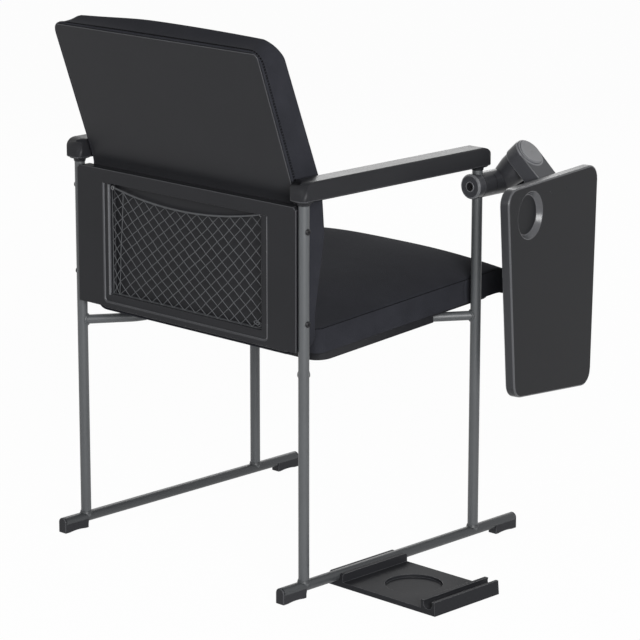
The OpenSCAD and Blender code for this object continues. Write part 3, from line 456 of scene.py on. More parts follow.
softened("seat_pan", 0.0009, moulded)
softened("seat_saddles", 0.0008, moulded)
steel = grained("zinc_steel", (0.16, 0.16, 0.165), (0.1, 0.1, 0.105), 900, 20, (0.3, 0.45), (0.1, 0.0002))
finish("saddle_screws", steel)

# Seat cushion: a foam block in a sewn cover of felted cloth. The top and the boxed sides meet in
# a seam, upright seams close the boxing, and the nose rolls over the pan's front edge.

cloth = grained("dark_cloth", (0.029, 0.0299, 0.0362), (0.0142, 0.0148, 0.0182), 460, 18, (0.85, 0.97),
                (0.6, 0.0006), specular=0.04, sheen=0.02)
# A darker copy of the cloth, for the faces in a seam: painted shade in the seam's crease.
seam_shade_cloth = grained("seam_shade_cloth", (0.012, 0.0122, 0.0144), (0.0065, 0.0067, 0.008), 640, 18, (0.9, 0.98),
                     (0.6, 0.0006), specular=0.02)
# Near-black thread: partly the thread's own dark colour, partly painted shade at the stitches.
thread = grained("black_thread_and_stitch_shade", (0.004, 0.004, 0.0045), (0.002, 0.002, 0.0025), 3000, 60, (0.6, 0.75),
                 (0.4, 0.0002), specular=0.03)

SEAT_START, SEAT_DEPTH, SEAT_W, SEAT_BOX, SEAT_CROWN = 57.0, 484.0, 496.0, 43.0, 32.0
SEAT_NOSE, SEAT_CORNER, SEAT_REAR_CORNER, SEAT_BASE = 48.0, 34.0, 16.0, 16.3
SEAM_AT, REAR_SEAM_AT = 418.0, 69.0
SEAM_ROW, SEAM_SHARE, CORNER_STEPS = 1.6, 0.012, 8


def seat_point(x, s, w):
    """From the seat's own plane to the chair, in metres."""
    y = LEG_Y - s * math.cos(SLOPE) + w * math.sin(SLOPE)
    z = BAR_Z + s * math.sin(SLOPE) + w * math.cos(SLOPE)
    return placed(x, y, z)


def corner_cut(r, d):
    """How far a round corner has drawn the edge in, at a distance from the end."""
    return 0.0 if d >= r else r - math.sqrt(max(0.0, r * r - (r - d) ** 2))


def half_width(hw, s, s0, s1, r0, r1):
    return hw - max(corner_cut(r0, s - s0), corner_cut(r1, s1 - s))


def spread(count, tight):
    """Shares from -1 to 1 with closer steps at both ends, so that a seam there stays narrow."""
    inner = [math.sin(math.pi / 2 * (2 * k / count - 1)) for k in range(1, count)]
    last = 1 - 1.6 * tight
    return [-1.0, -1.0 + tight] + [max(-last, min(last, v)) for v in inner] + [1 - tight, 1.0]


def rows_between(s0, s1, r0, r1, steps, marks, tight):
    """Row places from one end to the other: fine round the corners, and on both sides of a mark."""
    rows = [s0 + r0 * (1 - math.cos(math.pi / 2 * k / CORNER_STEPS)) for k in range(CORNER_STEPS + 1)]
    rows += [s0 + r0 + (s1 - r1 - s0 - r0) * k / steps for k in range(1, steps)]
    rows += [s1 - r1 * (1 - math.sin(math.pi / 2 * k / CORNER_STEPS)) for k in range(CORNER_STEPS + 1)]
    rows += [s0 + tight, s1 - tight]
    for m in marks:
        rows = [r for r in rows if abs(r - m) > 3 * tight]
        rows += [m - tight, m, m + tight]
    return sorted(set(round(r, 3) for r in rows))


def rim(nx, ns):
    """Indices of a grid's edge, once round."""
    w = nx + 1
    return ([j for j in range(w)] + [i * w + nx for i in range(1, ns + 1)]
            + [ns * w + j for j in range(nx - 1, -1, -1)] + [i * w for i in range(ns - 1, 0, -1)])


def smooth_object(name, verts, faces, merge=False):
    """An object with its faces turned outwards, its doubled points merged where that is asked."""
    mesh = bpy.data.meshes.new(name)
    mesh.from_pydata([tuple(v) for v in verts], [], faces)
    bm = bmesh.new()
    bm.from_mesh(mesh)
    if merge:
        bmesh.ops.remove_doubles(bm, verts=bm.verts, dist=1e-6)
    bmesh.ops.recalc_face_normals(bm, faces=bm.faces)
    bm.to_mesh(mesh)
    bm.free()
    mesh.polygons.foreach_set("use_smooth", [True] * len(mesh.polygons))
    return linked(name, mesh)


def padded_mesh(name, front, rear, rings, nx, ns):
    """Closed cover: a grid in front, a grid behind, and loops of side panel between them."""
    w = nx + 1
    count = len(front)
    path = rim(nx, ns)
    verts = list(front) + list(rear)
    loops = [list(path)]
    for ring in rings:
        loops.append(list(range(len(verts), len(verts) + len(ring))))
        verts += ring
    loops.append([k + count for k in path])
    faces = []
    for i in range(ns):
        for j in range(nx):
            q = i * w + j
            faces.append((q, q + w, q + w + 1, q + 1))
            faces.append((count + q, count + q + 1, count + q + w + 1, count + q + w))
    for a, b in zip(loops, loops[1:]):
        for k in range(len(a)):
            m = (k + 1) % len(a)
            faces.append((a[k], a[m], b[m], b[k]))
    return smooth_object(name, verts, faces), loops


CLOTH_FRAMES, CLOTH_PRESSURE, CLOTH_TRAVEL = 20, 4.0, 0.006


def puff(ob, held):
    """Lets air pressure fill the cover, holds the sewn and glued points, and caps the travel."""
    start = [v.co.copy() for v in ob.data.vertices]
    group = ob.vertex_groups.new(name="held")
    for weight, ids in held:
        group.add(list(ids), weight, "REPLACE")
    mod = ob.modifiers.new("fill", "CLOTH")
    c = mod.settings
    c.quality = 6
    c.mass = 0.25
    c.tension_stiffness = 14
    c.compression_stiffness = 14
    c.shear_stiffness = 6
    c.bending_stiffness = 1.5
    c.vertex_group_mass = "held"
    c.pin_stiffness = 1.0
    c.use_pressure = True
    c.uniform_pressure_force = CLOTH_PRESSURE
    c.effector_weights.gravity = 0
    mod.collision_settings.use_collision = False
    scene.frame_start = 1
    scene.frame_end = CLOTH_FRAMES
    for f in range(1, CLOTH_FRAMES + 1):
        scene.frame_set(f)
    done = ob.evaluated_get(bpy.context.evaluated_depsgraph_get())
    moved = [v.co.copy() for v in done.data.vertices]
    ob.modifiers.remove(mod)
    for v, a, b in zip(ob.data.vertices, start, moved):
        step = b - a
        if step.length > CLOTH_TRAVEL:
            step *= CLOTH_TRAVEL / step.length
        v.co = a + step
    ob.vertex_groups.remove(group)
    scene.frame_set(1)


def sink(ob, ids, depth):
    """Draws a seam's points into the foam along their normals."""
    ob.data.update()
    normals = [v.normal.copy() for v in ob.data.vertices]
    for k in ids:
        ob.data.vertices[k].co -= normals[k] * depth


def drawn_in(p, mid, draw, width, length):
    """A point of the cover's side, drawn in evenly towards the cushion's middle."""
    return p[0] * (1 - 2 * draw / width), mid + (p[1] - mid) * (1 - 2 * draw / length), p[2]


def dressed(ob, seam):
    """Cloth all over, the darker seam cloth on the faces between a seam's two rings as painted shade, and one
    smoothing level.
    """
    ob.data.materials.append(cloth)
    ob.data.materials.append(seam_shade_cloth)
    for p in ob.data.polygons:
        if seam.issuperset(p.vertices):
            p.material_index = 1
    mod = ob.modifiers.new("smooth", "SUBSURF")
    mod.levels = 1
    mod.render_levels = 1


def stitch_tree():
    """Short raised stitches laid end to end along a path."""
    tree, gin, gout = new_tree(
        "stitch_run",
        [("Path", "NodeSocketGeometry"), ("Pitch", "NodeSocketFloat"), ("Length", "NodeSocketFloat"),
         ("Thickness", "NodeSocketFloat"), ("Thread", "NodeSocketMaterial")], "Stitches")
    n, l = tree.nodes, tree.links
    points = n.new("GeometryNodeCurveToPoints")
    points.mode = "LENGTH"
    one = n.new("GeometryNodeMeshUVSphere")
    one.inputs["Segments"].default_value = 6
    one.inputs["Rings"].default_value = 4
    one.inputs["Radius"].default_value = 0.5
    size = n.new("ShaderNodeCombineXYZ")
    place = n.new("GeometryNodeInstanceOnPoints")
    turn = n.new("FunctionNodeAlignRotationToVector")
    turn.axis = "Z"
    real = n.new("GeometryNodeRealizeInstances")
    paint = n.new("GeometryNodeSetMaterial")
    wire(l, [
        (gin, "Path", points, "Curve"), (gin, "Pitch", points, "Length"), (gin, "Thickness", size, "X"),
        (gin, "Thickness", size, "Y"), (gin, "Length", size, "Z"), (points, "Tangent", turn, "Vector"),
        (points, "Points", place, "Points"), (one, "Mesh", place, "Instance"),
        (turn, "Rotation", place, "Rotation"), (size, "Vector", place, "Scale"),
        (place, "Instances", real, "Geometry"), (real, "Geometry", paint, "Geometry"),
        (gin, "Thread", paint, "Material"), (paint, "Geometry", gout, "Stitches"),
    ])
    return tree


stitch_run = stitch_tree()


def stitched(name, paths, pitch, length, thickness, body):
    """Rows of stitches along closed lines."""
    ob = grown(name, path_curve(name + "_path", paths, True), stitch_run,
               {"Pitch": pitch, "Length": length, "Thickness": thickness, "Thread": thread})
    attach(ob, body)


def seat_cushion():
    """Crowned top, sides with upright seams, and a top seam with its stitches."""
    end = SEAT_START + SEAT_DEPTH
    mid = SEAT_START + SEAT_DEPTH / 2
    columns = spread(44, SEAM_SHARE)
    rows = rows_between(SEAT_START, end, SEAT_REAR_CORNER, SEAT_NOSE, 42, [REAR_SEAM_AT, SEAM_AT], SEAM_ROW)
    nx, ns = len(columns) - 1, len(rows) - 1
    top, low = [], []
    for s in rows:
        hw = half_width(SEAT_W / 2 - 1.5, s, SEAT_START, end, SEAT_REAR_CORNER, SEAT_CORNER)
        nose = max(0.0, s - end + SEAT_NOSE) / SEAT_NOSE
        fall = SEAT_BOX * 0.6 * (1 - math.sqrt(max(0.0, 1 - nose * nose)))
        for a in columns:
            b = 2 * (s - SEAT_START) / SEAT_DEPTH - 1
            crown = (SEAT_CROWN - 2) * (1 - abs(a) ** 3) * (1 - abs(b) ** 4)
            top.append((hw * a, s, SEAT_BASE + SEAT_BOX + crown - fall))
            low.append((hw * a, s, SEAT_BASE - SEAT_BOX * 0.35 * nose * nose))
    path = rim(nx, ns)
    shares = [0.03, 0.055] + [k / 8 for k in range(1, 8)] + [0.97]
    rings = []
    for t in shares:
        ring = []
        for k in path:
            p = [u + (v - u) * t for u, v in zip(top[k], low[k])]
            q = max(0.0, p[1] - end + SEAT_NOSE) / SEAT_NOSE
            draw = (2.0 * (1 - q) - SEAT_BOX * 0.1 * q) * math.sin(math.pi * t)
            ring.append(drawn_in(p, mid, draw, SEAT_W, SEAT_DEPTH))
        rings.append(ring)
    ob, loops = padded_mesh(
        "seat_cover", [seat_point(*p) for p in top], [seat_point(*p) for p in low],
        [[seat_point(*p) for p in r] for r in rings], nx, ns)
    bottom = range(len(top), 2 * len(top))
    puff(ob, [(1.0, bottom), (0.6, loops[0])])
    upright = [k for k, p in enumerate(path)
               if min(abs(rows[p // (nx + 1)] - at) for at in (SEAM_AT, REAR_SEAM_AT)) < 0.01
               and p % (nx + 1) in (0, nx)]
    seam = [loop[k] for loop in loops[1:-1] for k in upright]
    sink(ob, loops[0], 0.0024)
    sink(ob, seam, 0.002)
    top_line = [ob.data.vertices[k].co + ob.data.vertices[k].normal * 0.0005 for k in loops[1]]
    dressed(ob, set(loops[0]) | set(loops[1]))
    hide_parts("seat_cushion")
    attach(ob, "frame")
    stitched("seat_seam_stitches", [top_line], pitch=0.0052, length=0.0038, thickness=0.0014, body="frame")


seat_cushion()

# Back shell: one moulded sheet that bends back above the armrests. Its rear face is bare, and its
# front carries the back cushion.

# Its rounded edges take the lighter edge colour: a painted highlight.
softened("back_shell", 0.0013, moulded, edge=soft_edge_highlight, least=0.03)

# Back cushion: foam on the shell's front. Its cover wraps round the shell's edge, where a double
# row of stitches holds it, and the foam stands out furthest at the lumbar line.

SHELL_Y, SHELL_BEND_Z, SHELL_BEND_R, SHELL_LEAN = 198.7, 650.3, 40.0, math.radians(19.5)
SHELL_W, SHELL_T, SHELL_RISE, SHELL_LOW_Z = 480.0, 5.0, 250.0, 402.0
BACK_REACH, BACK_REACH_TOP, BACK_ARCH, BACK_TOP_T, BACK_MID_T, BACK_CROWN = 5.0, 4.0, 4.0, 48.0, 60.0, 15.0
BACK_BEND_T, BACK_CORNER, CORNER_SLACK, CORNER_DROOP = 54.0, 34.0, 3.0, 4.5
SHELL_LOW_CORNER, SHELL_TOP_CORNER, CORNER_GROWTH = 26.0, 12.0, 2.2
COVER_WRAP, COVER_GAP, WRAP_SEAM = 4.0, 0.4, 10
SHELL_ARC = SHELL_BEND_R * SHELL_LEAN


def back_point(x, s, n):
    """s runs up the shell's rear face from the foot of its bend, n forward from that face."""
    turn = 0.0 if s <= 0 else SHELL_LEAN if s >= SHELL_ARC else SHELL_LEAN * s / SHELL_ARC
    over = max(0.0, s - SHELL_ARC)
    up = s if s <= 0 else SHELL_BEND_R * math.sin(turn) + over * math.cos(turn)
    back = 0.0 if s <= 0 else SHELL_BEND_R * (1 - math.cos(turn)) + over * math.sin(turn)
    y = SHELL_Y + back - n * math.cos(turn)
    z = SHELL_BEND_Z + up + n * math.sin(turn)
    return placed(x, y, z)


def table(s, pairs):
    """Value at a place, along straight lines between pairs of place and value."""
    if s <= pairs[0][0]:
        return pairs[0][1]
    for (a, u), (b, v) in zip(pairs, pairs[1:]):
        if s <= b:
            return u + (v - u) * (s - a) / (b - a)
    return pairs[-1][1]


def ease(t):
    return (1 - math.cos(math.pi * max(0.0, min(1.0, t)))) / 2


def back_cushion():
    """Cover over the foam and round the shell's edge, with a seam between two rows of stitches."""
    low = SHELL_LOW_Z - BACK_REACH - SHELL_BEND_Z
    high = SHELL_ARC + SHELL_RISE + BACK_REACH_TOP
    mid = (low + high) / 2
    columns = spread(44, SEAM_SHARE)
    rows = rows_between(low, high, BACK_CORNER, BACK_CORNER, 44, [], SEAM_ROW)
    nx, ns = len(columns) - 1, len(rows) - 1
    seat_rear = LEG_Y - SEAT_START * math.cos(SLOPE) + (SEAT_BASE + SEAT_BOX) * math.sin(SLOPE)
    t_low = SHELL_Y - SHELL_T - seat_rear - 0.6
    seat_meets = BAR_Z + SEAT_BASE + SEAT_BOX + SEAT_CROWN - SHELL_BEND_Z
    thick = [(low, t_low), (seat_meets, t_low), (seat_meets / 3, BACK_MID_T), (SHELL_ARC, BACK_BEND_T),
             (high - BACK_CORNER, BACK_TOP_T), (high, BACK_TOP_T * 0.8)]
    front, edge, inner, rear = [], [], [], []
    for s in rows:
        hw = half_width(SHELL_W / 2 + BACK_REACH - 1, s, low, high, BACK_CORNER, BACK_CORNER)
        t = (s - low) / (high - low)
        for a in columns:
            arch = BACK_ARCH * ease(4 * t - 3) * (1 - a * a)
            b = 2 * t - 1
            crown = (BACK_CROWN - 3) * (1 - abs(a) ** 3) * (1 - abs(b) ** 4) * ease(3 * t - 0.5)
            slack = CORNER_SLACK * max(0.0, 2 * a - 1) ** 2 * ease(4 * t - 3)
            droop = CORNER_DROOP * ease(1.4 * a - 0.2) * ease(4 * t - 3)
            front.append((hw * a, s + arch - droop, SHELL_T + table(s, thick) + crown - slack))
        for grid, grow, n in ((edge, COVER_WRAP, COVER_GAP), (inner, COVER_GAP, COVER_GAP),
                              (rear, COVER_GAP, SHELL_T + COVER_GAP)):
            lo, hi = SHELL_LOW_Z - SHELL_BEND_Z - grow, SHELL_ARC + SHELL_RISE + grow
            if s < 0:
                v = lo * s / low
            elif s <= SHELL_ARC:
                v = s
            else:
                v = SHELL_ARC + (hi - SHELL_ARC) * (s - SHELL_ARC) / (high - SHELL_ARC)
            w = half_width(SHELL_W / 2 + grow, v, lo, hi, SHELL_LOW_CORNER,
                           SHELL_TOP_CORNER + CORNER_GROWTH * grow)
            grid += [(w * a, v, n) for a in columns]
    path = rim(nx, ns)
    shares = [0.025, 0.12, 0.25, 0.38, 0.5, 0.62, 0.74, 0.83, 0.865, 0.89, 0.915, 0.95]
    rings = []
    for t in shares:
        ring = []
        for k in path:
            p = [u + (v - u) * t for u, v in zip(front[k], edge[k])]
            ring.append(drawn_in(p, mid, 2.0 * math.sin(math.pi * t), SHELL_W, high - low))
        rings.append(ring)
    rings.append([edge[k] for k in path])
    rings.append([inner[k] for k in path])
    ob, loops = padded_mesh(
        "back_cover", [back_point(*p) for p in front], [back_point(*p) for p in rear],
        [[back_point(*p) for p in r] for r in rings], nx, ns)
    back_face = range(len(front), 2 * len(front))
    puff(ob, [(1.0, back_face), (1.0, loops[-2]), (1.0, loops[-3]), (0.6, loops[0]), (0.7, loops[WRAP_SEAM])])
    sink(ob, loops[0], 0.0018)
    sink(ob, loops[WRAP_SEAM], 0.0024)
    verts = ob.data.vertices
    lines = [[verts[k].co + verts[k].normal * 0.0004 for k in loops[i]]
             for i in (WRAP_SEAM - 1, WRAP_SEAM + 1)]
    dressed(ob, set(loops[WRAP_SEAM]) | set(loops[WRAP_SEAM + 1]))
    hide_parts("back_cushion")
    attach(ob, "frame")
    stitched("back_seam_stitches", lines, pitch=0.005, length=0.0036, thickness=0.0012, body="frame")


back_cushion()

# Armrests: solid mouldings on top of the legs. Their ends are rounded, and a filleted boss meets
# each leg.

# Their rounded edges take the lighter edge colour: a painted highlight.
for name in ("armrest_left", "armrest_right"):
    softened(name, 0.0018, moulded, edge=soft_edge_highlight, least=0.03)

# Pocket panel: a moulded cover behind the lower back, let in between the legs and held by two
# hexagon socket screws through each rear leg. A U-shaped strip frames its recess.

# Its rounded edges take the lighter edge colour: a painted highlight.
softened("pocket_panel", 0.001, moulded, edge=soft_edge_highlight, least=0.03)
# A much lighter copy of the moulded finish, for the strip's bead and the net rod: a painted highlight.
bead_highlight = grained("bead_highlight", (0.105, 0.107, 0.115), (0.08, 0.082, 0.088), 1800, 12,
                       (0.24, 0.3), (0.05, 0.0002), specular=0.4)
FRAME_SEAT_Y, FRAME_FACE_Y = 217.0, 218.1


def pocket_frame():
    """U-shaped strip, let in a little below the panel's face."""
    ob = softened("pocket_frame", 0.0007, moulded)
    low = min(v.co.y for v in ob.data.vertices)
    high = max(v.co.y for v in ob.data.vertices)
    shrink = (FRAME_FACE_Y - FRAME_SEAT_Y) / 1000 / (high - low)
    for v in ob.data.vertices:
        v.co.y = low + (v.co.y - low) * shrink


pocket_frame()


def frame_beads():
    """Raised bead round the strip's outer edge, and the rod that holds the net on the left, both in a light
    colour that paints a highlight; the bead's bottom run takes the dimmer painted highlight.
    """
    low, high, half, corner = 421.2, 626.0, 195.8, 7.0
    rod_x, rod_low, rod_high = 183.6, 434.0, 625.0
    bend = [math.radians(a) for a in range(0, 91, 15)]
    line = [(-half, high)]
    line += [(-half + corner - corner * math.cos(a), low + corner - corner * math.sin(a)) for a in bend]
    line += [(half - corner + corner * math.sin(a), low + corner - corner * math.cos(a)) for a in bend]
    line.append((half, high))
    path = [placed(x, FRAME_FACE_Y + 0.3, z) for x, z in line]
    ob = grown("frame_bead", path_curve("bead_line", [path], False), bead_tree(),
               {"Radius": 0.0013, "Ripple": 0.0, "Coat": bead_highlight})
    bright = len(ob.data.materials) - 1
    ob.data.materials.append(soft_edge_highlight)
    for p in ob.data.polygons:
        if p.material_index == bright and p.center.z < (low + 2.0) / 1000:
            p.material_index = bright + 1
    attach(ob, "frame")
    rod = [placed(rod_x, FRAME_FACE_Y + 0.4, z) for z in (rod_low, rod_high)]
    ob = grown("net_rod", path_curve("rod_line", [rod], False), bead_tree(),
               {"Radius": 0.0021, "Ripple": 0.0, "Coat": bead_highlight})
    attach(ob, "frame")


frame_beads()
blacked = grained("blacked_steel", (0.016, 0.016, 0.0175), (0.01, 0.01, 0.011), 900, 20, (0.3, 0.42),
                  (0.1, 0.0002), specular=0.15)
finish("panel_screws", blacked)

# Net: knotless diamond net of thin cord, hooked into the strips. An elastic cord draws its upper
# edge, which sags, and gathers the net a little on the left.

net_cord = grained("net_cord", (0.088, 0.0915, 0.097), (0.054, 0.0565, 0.06), 2400, 40, (0.65, 0.8),
                   (0.5, 0.0003), specular=0.3)
NET_HALF, NET_LOW, NET_HIGH, NET_SAG, NET_Y = 181.0, 436.0, 623.4, 20.0, 212.4
NET_COLUMNS, NET_ROWS, NET_BULGE, NET_TILT, NET_SHAKE = 28, 16, 1.8, 3.2, 0.7
HEM_STEPS = 64


def hem_line(x):
    """Height of the sagging hem, a little lower on the left."""
    return NET_HIGH - NET_SAG * (1 - (x / NET_HALF) ** 2) - NET_TILT * x / NET_HALF


def net_point(c, r, shake):
    """Knot c across, r up, in metres; the last two columns are gathered towards the left strip."""
    t = r / NET_ROWS
    gather = 15 + 12 * t
    last = NET_COLUMNS - 2
    if c <= last:
        x = -NET_HALF + 4 * math.sin(math.pi * t) * (1 - c / last) + c / last * (2 * NET_HALF - gather)
    else:
        x = NET_HALF - gather * (NET_COLUMNS - c) / 2
    z = NET_LOW + (hem_line(x) - 1.2 - NET_LOW) * t
    y = NET_Y + NET_BULGE * (1 - (x / NET_HALF) ** 2) * math.sin(math.pi * min(1.0, t + 0.1))
    if 0 < r < NET_ROWS and 0 < c < NET_COLUMNS:
        x += shake.uniform(-NET_SHAKE, NET_SHAKE)
        z += shake.uniform(-NET_SHAKE, NET_SHAKE)
    return placed(x, y, z)


def cord_tree():
    """Cord along every edge of a net, with a small swelling at every crossing."""
    tree, gin, gout = new_tree(
        "net_cords",
        [("Net", "NodeSocketGeometry"), ("Cord", "NodeSocketFloat"), ("Knot", "NodeSocketFloat"),
         ("Fibre", "NodeSocketMaterial")], "Cords")
    n, l = tree.nodes, tree.links
    lines = n.new("GeometryNodeMeshToCurve")
    profile = n.new("GeometryNodeCurvePrimitiveCircle")
    profile.inputs["Resolution"].default_value = 6
    sweep = n.new("GeometryNodeCurveToMesh")
    knot = n.new("GeometryNodeMeshIcoSphere")
    knot.inputs["Subdivisions"].default_value = 1
    place = n.new("GeometryNodeInstanceOnPoints")
    join = n.new("GeometryNodeJoinGeometry")
    smooth = n.new("GeometryNodeSetShadeSmooth")
    real = n.new("GeometryNodeRealizeInstances")
    paint = n.new("GeometryNodeSetMaterial")
    wire(l, [
        (gin, "Net", lines, "Mesh"), (gin, "Cord", profile, "Radius"), (lines, "Curve", sweep, "Curve"),
        (profile, "Curve", sweep, "Profile Curve"), (gin, "Knot", knot, "Radius"),
        (gin, "Net", place, "Points"), (knot, "Mesh", place, "Instance"), (sweep, "Mesh", join, "Geometry"),
        (place, "Instances", join, "Geometry"), (join, "Geometry", real, "Geometry"),
        (real, "Geometry", smooth, "Geometry"), (smooth, "Geometry", paint, "Geometry"),
        (gin, "Fibre", paint, "Material"), (paint, "Geometry", gout, "Cords"),
    ])
    return tree


def edge_object(name, points, edges):
    """Loose edges through points, which a tree turns into cord."""
    mesh = bpy.data.meshes.new(name)
    mesh.from_pydata([tuple(p) for p in points], edges, [])
    return linked(name, mesh)


def net():
    """Knots on every second point of a grid, and the cords between them."""
    shake = random.Random(7)
    points, index, edges = [], {}, []
    for r in range(NET_ROWS + 1):
        for c in range(NET_COLUMNS + 1):
            if (r + c) % 2 == 0:
                index[c, r] = len(points)
                points.append(net_point(c, r, shake))
    for (c, r), k in index.items():
        for step in (-1, 1):
            if (c + step, r + 1) in index:
                edges.append((k, index[c + step, r + 1]))
        if c in (0, NET_COLUMNS - 2, NET_COLUMNS) and (c, r + 2) in index:
            edges.append((k, index[c, r + 2]))
        if r == 0 and (c + 2, r) in index:
            edges.append((k, index[c + 2, r]))
    ob = grown("pocket_net_cords", edge_object("net_lines", points, edges), cord_tree(),
               {"Cord": 0.00068, "Knot": 0.0012, "Fibre": net_cord})
    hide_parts("pocket_net")
    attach(ob, "frame")


net()


def hem():
    """Elastic cord through the upper meshes."""
    line = []
    for k in range(HEM_STEPS + 1):
        x = NET_HALF * (2 * k / HEM_STEPS - 1)
        bulge = NET_BULGE * 0.3 * (1 - (x / NET_HALF) ** 2)
        line.append(placed(x, NET_Y + bulge, hem_line(x)))
    ob = grown("hem_cord", path_curve("hem_path", [line], False), bead_tree(),
               {"Radius": 0.0016, "Ripple": 0.0005, "Coat": net_cord})
    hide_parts("net_hem")
    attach(ob, "frame")


hem()


def hem_rings():
    """Small wire rings that hold the hem's ends to the strips, and slack cord in one low corner."""
    turns = [math.pi * k / 12 for k in range(24)]
    rings = []
    for side, z in ((-1, NET_HIGH + 2.2), (1, NET_HIGH - 4.2)):
        x = side * (NET_HALF - 3.2)
        rings.append([placed(x + 2.6 * math.cos(a), NET_Y + 2.4, z + 3.4 * math.sin(a)) for a in turns])
    ob = grown("hem_rings", path_curve("ring_lines", rings, True), bead_tree(),
               {"Radius": 0.0007, "Ripple": 0.0, "Coat": steel})
    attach(ob, "frame")
    slack = [[placed(-NET_HALF + 9 + 6 * math.cos(a) + 3 * lean, NET_Y + 1.6 + 0.8 * math.sin(2 * a),
                     NET_LOW + 7 + lean + 3.2 * math.sin(a)) for a in turns] for lean in (0.0, 1.8)]
    ob = grown("slack_cord", path_curve("slack_lines", slack, True), bead_tree(),
               {"Radius": 0.0007, "Ripple": 0.0002, "Coat": net_cord})
    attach(ob, "frame")


hem_rings()

# Tablet hinge: a clamp drawn up round the leg by one bolt, an arm with an elbow, and a head that
# turns on a steel pin. A narrow dark joint line crosses the arm.


def line_group():
    """Mask of one narrow line across Y."""
    tree, gin, gout = new_group(
        "joint_line", [("Place", "NodeSocketFloat", 0.0), ("Width", "NodeSocketFloat", 0.0004)],
        [("Mask", "NodeSocketFloat")])
    n, l = tree.nodes, tree.links
    coord = n.new("ShaderNodeTexCoord")
    parts = n.new("ShaderNodeSeparateXYZ")
    near = n.new("ShaderNodeMath")
    near.operation = "COMPARE"
    wire(l, [
        (coord, "Object", parts, "Vector"), (parts, "Y", near, 0), (gin, "Place", near, 1),
        (gin, "Width", near, 2), (near, 0, gout, "Mask"),
    ])
    return tree


def with_line(mat, place, width):
    """Adds the dark line of a joint to a finished surface."""
    n, l = mat.node_tree.nodes, mat.node_tree.links
    shader = n["Principled BSDF"]
    line = n.new("ShaderNodeGroup")
    line.node_tree = line_group()
    line.inputs["Place"].default_value = place
    line.inputs["Width"].default_value = width
    dark = n.new("ShaderNodeMix")
    dark.data_type = "RGBA"
    dark.inputs["B"].default_value = (0.002, 0.002, 0.002, 1)
    l.new(line.outputs["Mask"], dark.inputs["Factor"])
    l.new(shader.inputs["Base Color"].links[0].from_socket, dark.inputs["A"])
    l.new(dark.outputs["Result"], shader.inputs["Base Color"])


hinge_black = grained("hinge_black", (0.053, 0.0542, 0.06), (0.04, 0.041, 0.0455), 1800, 12,
                      (0.28, 0.36), (0.14, 0.0002), specular=0.24)
arm_black = grained("arm_black", (0.036, 0.0368, 0.041), (0.027, 0.0276, 0.0308), 1800, 12,
                    (0.28, 0.36), (0.14, 0.0002), specular=0.24)
with_line(arm_black, place=DATUM.y - 0.235, width=0.0005)
# A light copy of the hinge's finish, for rounded edges and the bolt's rim: a painted highlight.
hinge_edge_highlight = grained("hinge_edge_highlight", (0.15, 0.153, 0.162), (0.12, 0.1225, 0.13), 1800, 12,
                     (0.24, 0.3), (0.05, 0.0002), specular=0.45)
# The clamp's and the arm's rounded edges take the light edge colour: a painted highlight.
softened("tablet_clamp", 0.0015, hinge_black, edge=hinge_edge_highlight, least=0.03)
softened("tablet_arm", 0.0008, arm_black, edge=hinge_edge_highlight)
finish("clamp_bolt", blacked)
for name in ("pivot_pin", "friction_washer", "tablet_screws"):
    finish(name, steel)

HINGE_Z, TABLET_TURN = 626.0, math.radians(10)
SWIVEL_AT = placed(-LEG_X, -272.0, HINGE_Z)
SWIVEL_AXIS = Vector((-math.cos(TABLET_TURN), -math.sin(TABLET_TURN), 1.0)).normalized()
BOLT_AT = placed(-LEG_X, -188.9, HINGE_Z)
BOLT_DISH_R, NOSE_R = 7.3, 20.6
CAP_FROM, CAP_R, CAP_H = 77.5, 22.3, 1.4
HEAD_BASE, HEAD_TOP, HEAD_FULLER, HEAD_TALLER = 46.6, 76.0, 2.0, 1.5
cap_grey = grained("cap_grey", (0.2, 0.202, 0.21), (0.165, 0.167, 0.174), 1200, 30, (0.38, 0.5),
                   (0.1, 0.0002), specular=0.4)


def turned(name, profile, steps, place, axis):
    """A round piece from a profile of radius and height, in millimetres, about an axis."""
    turn = axis.to_track_quat("Z", "Y").to_matrix()
    verts, faces = [], []
    for r, h in profile:
        for k in range(steps):
            a = 2 * math.pi * k / steps
            verts.append(place + turn @ (Vector((r * math.cos(a), r * math.sin(a), h)) / 1000))
    for i in range(len(profile) - 1):
        for k in range(steps):
            m = (k + 1) % steps
            faces.append((i * steps + k, i * steps + m, (i + 1) * steps + m, (i + 1) * steps + k))
    return smooth_object(name, verts, faces, merge=True)


def swivel_head():
    """Head with its round end and its two sides standing out a little, as the real one's do."""
    # The head's rounded edges take the light edge colour: a painted highlight.
    ob = softened("swivel_head", 0.0016, hinge_black, body="tablet", steps=4, edge=hinge_edge_highlight,
                  least=0.03)
    side = SWIVEL_AXIS.cross(Vector((-1, 0, 0))).normalized()
    reach = side.cross(SWIVEL_AXIS).normalized()
    for v in ob.data.vertices:
        from_pin = v.co - SWIVEL_AT
        h = from_pin.dot(SWIVEL_AXIS) * 1000
        if h < HEAD_BASE - 0.5:
            continue
        v.co += side * (HEAD_FULLER / 1000) * max(-1.0, min(1.0, from_pin.dot(side) / 0.02))
        v.co += reach * (HEAD_FULLER / 1000) * max(-1.0, min(0.0, from_pin.dot(reach) / 0.02))
        v.co += SWIVEL_AXIS * (HEAD_TALLER / 1000) * min(1.0, (h - HEAD_BASE + 0.5) / (HEAD_TOP - HEAD_BASE))


swivel_head()


def elbow_nose():
    """Rounded end of the arm, a little beyond its elbow."""
    steps = [math.radians(a) for a in range(0, 91, 10)]
    profile = [(0.0, -2.0), (NOSE_R, -2.0)]
    profile += [(NOSE_R * math.cos(a), 30.0 + NOSE_R * math.sin(a) * 0.8) for a in steps]
    ob = turned("elbow_nose", profile, 72, SWIVEL_AT, Vector((-7, -28, -4)).normalized())
    ob.data.materials.append(arm_black)
    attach(ob, "frame")


elbow_nose()


